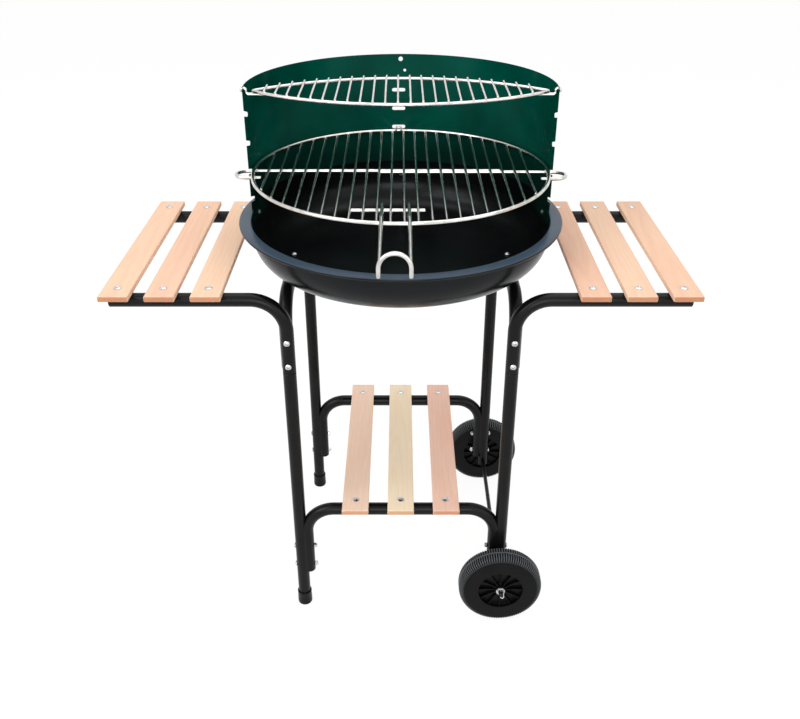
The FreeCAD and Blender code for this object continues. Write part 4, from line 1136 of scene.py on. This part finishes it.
def makeWheelHalf(endName, faceName):
    shape = wheelShape
    node = "wheel_%s_%s" % (endName, faceName)
    low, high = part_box(node)
    centre = (low + high) / 2
    radius, width = (high.x - low.x) / 2, high.y - low.y
    outward = (-1 if endName == "front" else 1) * (1 if faceName == "outer" else -1)
    joint = Vector((centre.x, low.y if outward > 0 else high.y, centre.z))
    place = turn(joint, (0, outward, 0))
    shoulderR, shoulderZ = radius - shape["shoulder"], width - shape["shoulder"]
    floorZ, lip, hub = width - shape["recessDepth"], shape["lip"], shape["hub"]
    seam = shape["seamWidth"] / 2
    outer = [(radius, 0), (radius, seam), (radius - 0.5 * mm, seam + 0.3 * mm),
             (radius - 0.1 * mm, seam + 0.8 * mm)]
    outer += [(radius - 0.1 * mm, seam + (shoulderZ - seam) * share) for share in (0.35, 0.6, 0.85)]
    outer += arcPoints(shoulderR, shoulderZ, shape["shoulder"], 4, 90, 14)
    outer += [((shoulderR + shape["recess"]) / 2, width), (shape["recess"] + 2 * lip, width)]
    outer += arcPoints(shape["recess"] + lip, width - lip, lip, 90, 180, 4)
    outer += arcPoints(shape["recess"] - lip, floorZ + lip, lip, 0, -90, 4)
    outer += arcPoints(hub + 1.5 * lip, floorZ + 1.5 * lip, 1.5 * lip, -90, -180, 4)
    outer += [(hub, width - 0.6 * lip), (hub - 0.6 * lip, width), (shape["bore"] + 0.5 * lip, width),
              (shape["bore"], width - 0.5 * lip), (shape["bore"], 0), (hub, 0)]
    inner = floorZ - shape["wall"]
    outer += [(hub, inner), (shape["recess"] + shape["wall"], inner),
              (shape["recess"] + shape["wall"], width - shape["wall"]), (shoulderR, width - shape["wall"])]
    outer += arcPoints(shoulderR, shoulderZ, shape["shoulder"] - shape["wall"], 70, 0, 5)
    outer += [(radius - shape["wall"], 0)]
    ribStart = seam + 0.7 * mm

    def ribbed(reach, rise, angle):
        # sinks the grooves into the tread and on over its shoulder
        sideways, along = reach - shoulderR, max(0.0, rise - shoulderZ)
        skin = math.hypot(sideways, along)
        if sideways <= 0 or rise < ribStart or skin < shape["shoulder"] - 1 * mm:
            return reach, rise
        steep = math.degrees(math.atan2(along, sideways))
        fade = max(0.0, min(1.0, (shape["ribSpread"] - steep) / 10))
        groove = max(0.0, min(1.0, 0.5 - 1.6 * math.sin(angle * shape["ribs"])))
        depth = shape["ribDepth"] * groove * fade
        return reach - depth * sideways / skin, rise - depth * along / skin

    bm = bmesh.new()
    lathe(bm, outer, shape["ribs"] * shape["pointsPerRib"], place, True, ribbed)
    finTop = width - shape["finDrop"]
    for index in range(shape["fins"]):
        spin = Matrix.Rotation(2 * math.pi * index / shape["fins"], 4, "Z")
        makeFin(bm, place @ spin, hub - 0.5 * mm, shape["recess"] + 0.5 * mm, floorZ - 0.5 * mm, finTop)
    body = endName + "_wheel"
    finishPiece("wheel_%s_%s_half" % (endName, faceName), bm, wheelPlastic[endName], body,
                [node], 35)


def makeFin(bm, place, startR, endR, lowZ, highZ):
    # a thin web whose top dips in the middle and tapers for the mould
    half = wheelShape["finThickness"] / 2
    rings = []
    steps = 10
    for step in range(steps + 1):
        share = step / steps
        r = startR + (endR - startR) * share
        top = highZ - 1.5 * mm * math.sin(share * math.pi)
        section = ((half * 1.15, lowZ), (half * 0.8, top - 0.4 * mm), (half * 0.4, top), (-half * 0.4, top),
                   (-half * 0.8, top - 0.4 * mm), (-half * 1.15, lowZ))
        rings.append([bm.verts.new(place @ Vector((r, y, z))) for y, z in section])
    for first, second in zip(rings, rings[1:]):
        bridgeRings(bm, first, second)
    bm.faces.new(rings[0])
    bm.faces.new(rings[-1][::-1])


runningShape = {
    "axleChamfer": 0.8 * mm,
    "washerRadius": 8 * mm,
    "washerThickness": 1.3 * mm,
    "washerGap": 0.3 * mm,
    "washerHole": 4.1 * mm,
    "washerEdge": 0.2 * mm,
    "clipWire": 1 * mm,
    "clipHug": 1.3 * mm,            # wire's middle outside the axle
    "clipThrough": 6.2 * mm,        # top of the straight leg above the axle's middle
    "clipDrop": 13 * mm,            # round head below the axle's middle
    "clipHead": 8 * mm,
    "clipWaist": 7 * mm,
    "clipCrown": 8.8 * mm,          # over the axle
    "clipTail": 1 * mm,
    "clipBends": (3.9 * mm, 3.7 * mm, 6 * mm, 5.2 * mm, 5.2 * mm),
    "footRound": 5 * mm,
    "footSole": 4 * mm,
    "footTaper": 0.5 * mm,
    "plugFlange": 1.5 * mm,
}


def makeRunningGear():
    shape = runningShape
    low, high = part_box("axle")
    radius, chamfer = (high.x - low.x) / 2, shape["axleChamfer"]
    length = high.y - low.y
    centre = (low + high) / 2
    bm = bmesh.new()
    profile = [(0, 0), (radius - chamfer, 0), (radius, chamfer), (radius, length - chamfer),
               (radius - chamfer, length), (0, length)]
    lathe(bm, profile, 32, turn((centre.x, low.y, centre.z), (0, 1, 0)))
    finishPiece("axleRod", bm, axleSteel, "trolley", ["axle"], 30)

    washerLow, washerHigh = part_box("axle_washers")
    paintedShade, gap = shape["washerThickness"], shape["washerGap"]
    edge = shape["washerEdge"]
    ringProfile = [(shape["washerHole"], 0), (shape["washerRadius"] - edge, 0), (shape["washerRadius"], edge),
                   (shape["washerRadius"], paintedShade - edge), (shape["washerRadius"] - edge, paintedShade),
                   (shape["washerHole"], paintedShade)]
    bm = bmesh.new()
    for endName, end in (("front", -1), ("rear", 1)):
        innerLow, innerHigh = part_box("wheel_%s_inner" % endName)
        innerFace = innerHigh.y if end < 0 else innerLow.y
        outerFace = washerLow.y if end < 0 else washerHigh.y
        for y in (innerFace - end * (gap + paintedShade), outerFace - end * paintedShade):
            lathe(bm, ringProfile, 40, turn((centre.x, y, centre.z), (0, end, 0)), True)
    finishPiece("axleWashers", bm, zincPlate, "trolley", ["axle_washers"], 30)

    clipLow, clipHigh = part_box("axle_clips")
    wireRadius = shape["clipWire"]
    hug = radius + shape["clipHug"]
    drop, crown = shape["clipDrop"], shape["clipCrown"]
    places = ((0, shape["clipThrough"]), (0, -drop), (shape["clipHead"], -drop), (hug, -shape["clipWaist"]),
              (hug, crown), (-hug, crown), (-hug, -shape["clipTail"]))
    bm = bmesh.new()
    for y in (clipLow.y + wireRadius, clipHigh.y - wireRadius):
        corners = [Vector((centre.x + x, y, centre.z + z)) for x, z in places]
        wire(bm, bentPath(corners, shape["clipBends"], 12), wireRadius, 10)
    finishPiece("axleClips", bm, zincPlate, "trolley", ["axle_clips"])

    for endName in ("front", "rear"):
        node = "foot_cap_" + endName
        low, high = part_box(node)
        centre = (low + high) / 2
        radius, height = (high.x - low.x) / 2, high.z - low.z
        soft, lip = shape["footRound"], 0.7 * mm
        bore = tubeRadius + 0.05 * mm
        profile = [(0, 0)] + arcPoints(radius - soft, soft, soft, -90, 0, 8)
        profile += [(radius - shape["footTaper"], height - 4 * mm), (radius - 0.2 * mm, height - 3.4 * mm)]
        profile += arcPoints(radius - 0.2 * mm - lip, height - lip, lip, 0, 90, 4)
        profile += [(bore, height - 0.3 * mm), (bore, shape["footSole"]), (0, shape["footSole"])]
        bm = bmesh.new()
        lathe(bm, profile, 48, Matrix.Translation((centre.x, centre.y, low.z)))
        finishPiece("footCap_" + endName, bm, capPlastic, "trolley", [node], 40)

    low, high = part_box("arm_end_plugs")
    flange = shape["plugFlange"]
    profile = [(0, flange), (tubeRadius * 0.55, flange * 0.92), (tubeRadius * 0.85, flange * 0.72),
               (tubeRadius - 0.15 * mm, flange * 0.35), (tubeRadius, 0), (tubeBore - 0.1 * mm, 0),
               (tubeBore - 0.1 * mm, -9 * mm), (tubeBore - 1 * mm, -11 * mm), (0, -11 * mm)]
    bm = bmesh.new()
    for sideName, side in (("left", -1), ("right", 1)):
        for endName in ("front", "rear"):
            corner = armCorners(endName, sideName)[0]
            lathe(bm, profile, 40, turn(corner, (side, 0, 0)))
    finishPiece("armEndPlugs", bm, capPlastic, "trolley", ["arm_end_plugs"], 40)


for endName in ("front", "rear"):
    halfBoxes = [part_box("wheel_%s_%s" % (endName, faceName)) for faceName in ("outer", "inner")]
    low = Vector(min(box[0][axis] for box in halfBoxes) for axis in range(3))
    high = Vector(max(box[1][axis] for box in halfBoxes) for axis in range(3))
    paintTreadHighlight(wheelPlastic[endName], (low + high) / 2, (high.x - low.x) / 2, wheelShape["shoulder"],
              (high.y - low.y) / 2)
    for faceName in ("outer", "inner"):
        makeWheelHalf(endName, faceName)
makeRunningGear()
print("wheels, axle and feet made")


# Main grate

grateShape = {
    "ringWire": 3 * mm,
    "barWire": 2 * mm,
    "handleWire": 2.75 * mm,
    "barCount": 22,
    "barWander": 0.35 * mm,         # small unevenness of hand-fed bars
    "loopTail": 43 * mm,
    "handleDip": 5.5,               # degrees the handle's inner ends slope down
    "dipBend": 30 * mm,
    "handleBend": 7 * mm,
    "hookBend": 4 * mm,
    "weldSpread": 1.25,
}


def weldBead(bm, place, size):
    # small flattened bead of a resistance weld
    flatness = 0.55
    profile = [(0, -flatness)]
    profile += [(math.cos(math.radians(a)), flatness * math.sin(math.radians(a))) for a in (-50, 0, 50)]
    profile.append((0, flatness))
    lathe(bm, [(r * size, z * size) for r, z in profile], 10, Matrix.Translation(place))


def makeMainGrate():
    shape = grateShape
    ringWire, barWire, handleWire = shape["ringWire"], shape["barWire"], shape["handleWire"]
    low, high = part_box("grate_ring")
    ringRadius = (high.x - low.x) / 2 - ringWire
    ringZ = (low.z + high.z) / 2
    bm = bmesh.new()
    steps = 180
    circle = [atBowl(ringRadius * math.cos(2 * math.pi * s / steps),
                     ringRadius * math.sin(2 * math.pi * s / steps), ringZ) for s in range(steps)]
    wire(bm, circle, ringWire, 16, True)
    finishPiece("grateRing", bm, brightWire, "main_grate", ["grate_ring"])

    low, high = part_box("grate_bars")
    firstX, lastX = low.x + barWire, high.x - barWire
    barZ = (low.z + high.z) / 2
    crossYs = {side: atBowl(0, centreBack("grate_crossbar_" + side), 0).y for side in ("left", "right")}
    crossSpans = {side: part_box("grate_crossbar_" + side) for side in ("left", "right")}
    bm = bmesh.new()
    chance = random.Random(4)
    welds = []
    for index in range(shape["barCount"]):
        x = firstX + (lastX - firstX) * index / (shape["barCount"] - 1)
        half = math.sqrt((ringRadius - ringWire) ** 2 - (abs(x - bowlAxis.x) + barWire) ** 2)
        path = []
        bowX = shape["barWander"] * chance.uniform(-1, 1)
        for step in range(9):
            share = step / 4 - 1
            path.append(Vector((x + bowX * (1 - share * share), bowlAxis.y + half * share, barZ)))
        wire(bm, path, barWire, 12)
        for end in (-1, 1):
            welds.append(Vector((x, bowlAxis.y + end * (half - 0.3 * mm), barZ)))
        for side in ("left", "right"):
            spanLow, spanHigh = crossSpans[side]
            inward = max(spanLow.x, bowlAxis.x - ringRadius + 30 * mm)
            outward = min(spanHigh.x, bowlAxis.x + ringRadius - 30 * mm)
            if inward <= x <= outward:
                welds.append(Vector((x + bowX, crossYs[side], barZ - barWire)))
    for weld in welds:
        weldBead(bm, weld, barWire * shape["weldSpread"])
    finishPiece("grateBars", bm, brightWire, "main_grate", ["grate_bars"])

    for sideName, side in (("left", -1), ("right", 1)):
        node = "grate_crossbar_" + sideName
        low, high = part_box(node)
        y, tailY = high.y - ringWire, low.y + ringWire
        z = low.z + ringWire
        innerX = high.x if side < 0 else low.x
        loopX = low.x + ringWire if side < 0 else high.x - ringWire
        corners = [Vector((innerX, y, z)), Vector((loopX, y, z)), Vector((loopX, tailY, z)),
                   Vector((loopX - side * shape["loopTail"], tailY, z))]
        bm = bmesh.new()
        wire(bm, bentPath(corners, [(y - tailY) / 2 - 0.1 * mm] * 2, 9), ringWire, 14)
        for weldY in (y, tailY):
            weldX = bowlAxis.x + side * math.sqrt(ringRadius ** 2 - (weldY - bowlAxis.y) ** 2)
            weldBead(bm, Vector((weldX, weldY, z + ringWire)), ringWire * 1.1)
        finishPiece("grateCrossbar_" + sideName, bm, brightWire, "main_grate", [node])

    low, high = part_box("grate_anchor_bar")
    middle = (low + high) / 2
    bm = bmesh.new()
    wire(bm, [Vector((low.x, middle.y, middle.z)), Vector((high.x, middle.y, middle.z))], ringWire, 14)
    anchorY, anchorZ = middle.y, middle.z
    finishPiece("grateAnchorBar", bm, brightWire, "main_grate", ["grate_anchor_bar"])

    low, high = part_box("grate_handle")
    lowX, highX = low.x + handleWire, high.x - handleWire
    wireZ, topZ = ringZ + ringWire + handleWire, high.z - handleWire
    reachY = low.y + handleWire
    slope = math.radians(shape["handleDip"])
    seatZ = anchorZ + (ringWire + handleWire) / math.cos(slope)
    endY = high.y - handleWire * math.sin(slope)
    leg = [(endY, seatZ - (endY - anchorY) * math.tan(slope)),
           (anchorY - (wireZ - seatZ) / math.tan(slope), wireZ), (reachY, wireZ), (reachY, topZ)]
    corners = [Vector((lowX, y, z)) for y, z in leg] + [Vector((highX, y, z)) for y, z in reversed(leg)]
    bends = [shape["dipBend"], shape["handleBend"], (highX - lowX) / 2 - 0.1 * mm]
    bm = bmesh.new()
    wire(bm, bentPath(corners, bends + bends[::-1], 7), handleWire, 14)
    for x in (lowX, highX):
        ringY = bowlAxis.y - math.sqrt(ringRadius ** 2 - (x - bowlAxis.x) ** 2)
        weldBead(bm, Vector((x, anchorY, anchorZ + ringWire)), ringWire * 1.15)
        weldBead(bm, Vector((x, ringY, ringZ + ringWire)), ringWire * 1.15)
    finishPiece("grateHandle", bm, brightWire, "main_grate", ["grate_handle"])

    low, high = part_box("grate_hook")
    lowX, highX = low.x + barWire, high.x - barWire
    z, backY = (low.z + high.z) / 2, high.y - barWire
    corners = [Vector((lowX, low.y, z)), Vector((lowX, backY, z)),
               Vector((highX, backY, z)), Vector((highX, low.y, z))]
    bm = bmesh.new()
    wire(bm, bentPath(corners, [shape["hookBend"]] * 2, 9), barWire, 12)
    finishPiece("grateHook", bm, brightWire, "main_grate", ["grate_hook"])


makeMainGrate()
print("main grate made")


# Warming grate

warmingShape = {
    "rimWire": 2.5 * mm,
    "barWire": 1.75 * mm,
    "tipRadius": 5 * mm,
    "barCount": 23,
    "barWander": 0.3 * mm,
    "hookBends": [4 * mm, 3.3 * mm, 3.3 * mm],
    "hookGap": 3.4 * mm,
    "hookDrop": 5.5 * mm,
    "bowSteps": 40,
}


def makeWarmingGrate():
    shape = warmingShape
    rimWire, barWire = shape["rimWire"], shape["barWire"]
    low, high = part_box("warming_rim")
    rimZ = (low.z + high.z) / 2
    centreY = (low.y + high.y) / 2
    sagitta = (high.y - low.y) / 2 - rimWire
    tip = shape["tipRadius"]
    tipReach = (high.x - low.x) / 2 - rimWire - tip
    # the bows are tangent to the tip circles: (bow - tip)^2 = tipReach^2 + (bow - sagitta)^2
    bow = (tipReach ** 2 + sagitta ** 2 - tip ** 2) / (2 * (sagitta - tip))
    halfBow = math.atan2(tipReach, bow - sagitta)
    path = []
    for turned in (1, -1):
        for step in range(shape["bowSteps"]):
            angle = math.pi / 2 + halfBow - 2 * halfBow * step / shape["bowSteps"]
            path.append((turned * bow * math.cos(angle), turned * (bow * math.sin(angle) - (bow - sagitta))))
        for step in range(8):
            angle = math.pi / 2 - halfBow - (math.pi - 2 * halfBow) * step / 8
            path.append((turned * (tipReach + tip * math.cos(angle)), turned * tip * math.sin(angle)))
    path = [Vector((bowlAxis.x + x, centreY + y, rimZ)) for x, y in path]
    bm = bmesh.new()
    wire(bm, path, rimWire, 14, True)
    finishPiece("warmingRim", bm, brightWire, "warming_grate", ["warming_rim"])

    low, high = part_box("warming_bars")
    firstX, lastX = low.x + barWire, high.x - barWire
    barZ = (low.z + high.z) / 2
    chance = random.Random(9)
    bm = bmesh.new()
    for index in range(shape["barCount"]):
        x = firstX + (lastX - firstX) * index / (shape["barCount"] - 1)
        half = math.sqrt(bow ** 2 - (x - bowlAxis.x) ** 2) - (bow - sagitta)
        bowX = shape["barWander"] * chance.uniform(-1, 1)
        path = []
        for step in range(7):
            share = step / 3 - 1
            path.append(Vector((x + bowX * (1 - share * share),
                                centreY + (half + rimWire * 0.5) * share, barZ)))
        wire(bm, path, barWire, 12)
        for end in (-1, 1):
            weldBead(bm, Vector((x, centreY + end * half, barZ - barWire)), barWire * 1.3)
    finishPiece("warmingBars", bm, brightWire, "warming_grate", ["warming_bars"])

    sheetX = sizeOf("windshield").x / 2 - shieldShape["sheet"] / 2
    for sideName, side in (("left", -1), ("right", 1)):
        node = "warming_hook_" + sideName
        low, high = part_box(node)
        innerX = high.x if side < 0 else low.x
        uprightX = bowlAxis.x + side * (sheetX - shape["hookGap"])
        outerX = bowlAxis.x + side * (sheetX + shape["hookGap"])
        lowZ, topZ = rimZ - 2 * rimWire, high.z - rimWire
        y = (low.y + high.y) / 2
        corners = [Vector((innerX, y, lowZ)), Vector((uprightX, y, lowZ)), Vector((uprightX, y, topZ)),
                   Vector((outerX, y, topZ)), Vector((outerX, y, topZ - shape["hookDrop"]))]
        bm = bmesh.new()
        wire(bm, bentPath(corners, shape["hookBends"], 9), rimWire, 14)
        weldBead(bm, Vector((bowlAxis.x + side * (tipReach + tip * 0.9), y, rimZ - rimWire)), rimWire * 1.1)
        finishPiece("warmingHook_" + sideName, bm, brightWire, "warming_grate", [node])


makeWarmingGrate()
print("warming grate made")


# Studio

studio = {
    "floorTone": "#fafafa",
    "floorSize": 60.0,
    "shadowShare": 0.12,            # how much of the floor's own shading the eye sees
    "roomLight": 0.62,
    "cameraPlace": (-0.0012, -1.3622, 1.2476),
    "cameraTilt": 60.41,
    "lens": 40.67,
}


def seenDirectly(tree):
    # 1 for what the eye sees straight or in gloss and glass, 0 for light that falls on surfaces
    path = addNode(tree, "ShaderNodeLightPath")
    mirrored = addNode(tree, "ShaderNodeMath", {"operation": "MAXIMUM"}, {
        0: path.outputs["Is Camera Ray"], 1: path.outputs["Is Glossy Ray"]})
    return addNode(tree, "ShaderNodeMath", {"operation": "MAXIMUM"}, {
        0: mirrored.outputs["Value"], 1: path.outputs["Is Transmission Ray"]}).outputs["Value"]


def makeStudio():
    scene = bpy.context.scene
    scene.view_settings.view_transform = "Standard"
    world = bpy.data.worlds.new("paleRoom")
    scene.world = world
    world.use_nodes = True
    tree = world.node_tree
    tree.nodes.clear()
    room = addNode(tree, "ShaderNodeBackground", None, {
        "Color": (1, 1, 1, 1), "Strength": studio["roomLight"]})
    white = addNode(tree, "ShaderNodeBackground", None, {"Color": (1, 1, 1, 1), "Strength": 1.0})
    mix = addNode(tree, "ShaderNodeMixShader", None, {
        0: seenDirectly(tree), 1: room.outputs["Background"], 2: white.outputs["Background"]})
    addNode(tree, "ShaderNodeOutputWorld", None, {"Surface": mix.outputs["Shader"]})

    material = bpy.data.materials.new("palePaperFloor")
    material.use_nodes = True
    tree = material.node_tree
    tree.nodes.clear()
    paper = addNode(tree, "ShaderNodeBsdfDiffuse", None, {"Color": linear(studio["floorTone"])})
    glow = addNode(tree, "ShaderNodeEmission", None, {"Color": (1, 1, 1, 1), "Strength": 1.04})
    share = addNode(tree, "ShaderNodeMath", {"operation": "MULTIPLY"}, {
        0: seenDirectly(tree), 1: 1 - studio["shadowShare"]})
    mix = addNode(tree, "ShaderNodeMixShader", None, {
        0: share.outputs["Value"], 1: paper.outputs["BSDF"], 2: glow.outputs["Emission"]})
    addNode(tree, "ShaderNodeOutputMaterial", None, {"Surface": mix.outputs["Shader"]})
    bm = bmesh.new()
    bmesh.ops.create_grid(bm, x_segments=4, y_segments=4, size=studio["floorSize"] / 2)
    mesh = bpy.data.meshes.new("paleFloor")
    bm.to_mesh(mesh)
    bm.free()
    mesh.materials.append(material)
    floor = bpy.data.objects.new("paleFloor", mesh)
    scene.collection.objects.link(floor)

    target = Vector((0, bowlAxis.y, 0.6))
    for name, place, size, power in (
            ("softKey", (-2.2, -1.6, 2.6), 2.2, 58),
            ("softFill", (2.4, -2.0, 1.8), 2.4, 17),
            ("softTop", (0.3, 0.6, 3.2), 2.6, 33),
            ("softFront", (0.0, -3.4, 1.5), 1.8, 38)):
        lamp = bpy.data.lights.new(name, "AREA")
        lamp.shape = "SQUARE"
        lamp.size = size
        lamp.energy = power
        light = bpy.data.objects.new(name, lamp)
        light.location = place
        light.rotation_euler = (target - Vector(place)).to_track_quat("-Z", "Y").to_euler()
        scene.collection.objects.link(light)

    camera = bpy.data.cameras.new("camera")
    camera.sensor_width = 36
    camera.lens = studio["lens"]
    viewer = bpy.data.objects.new("camera", camera)
    viewer.location = studio["cameraPlace"]
    viewer.rotation_euler = (math.radians(studio["cameraTilt"]), 0, 0)
    scene.collection.objects.link(viewer)
    scene.camera = viewer


makeStudio()
print("studio made")
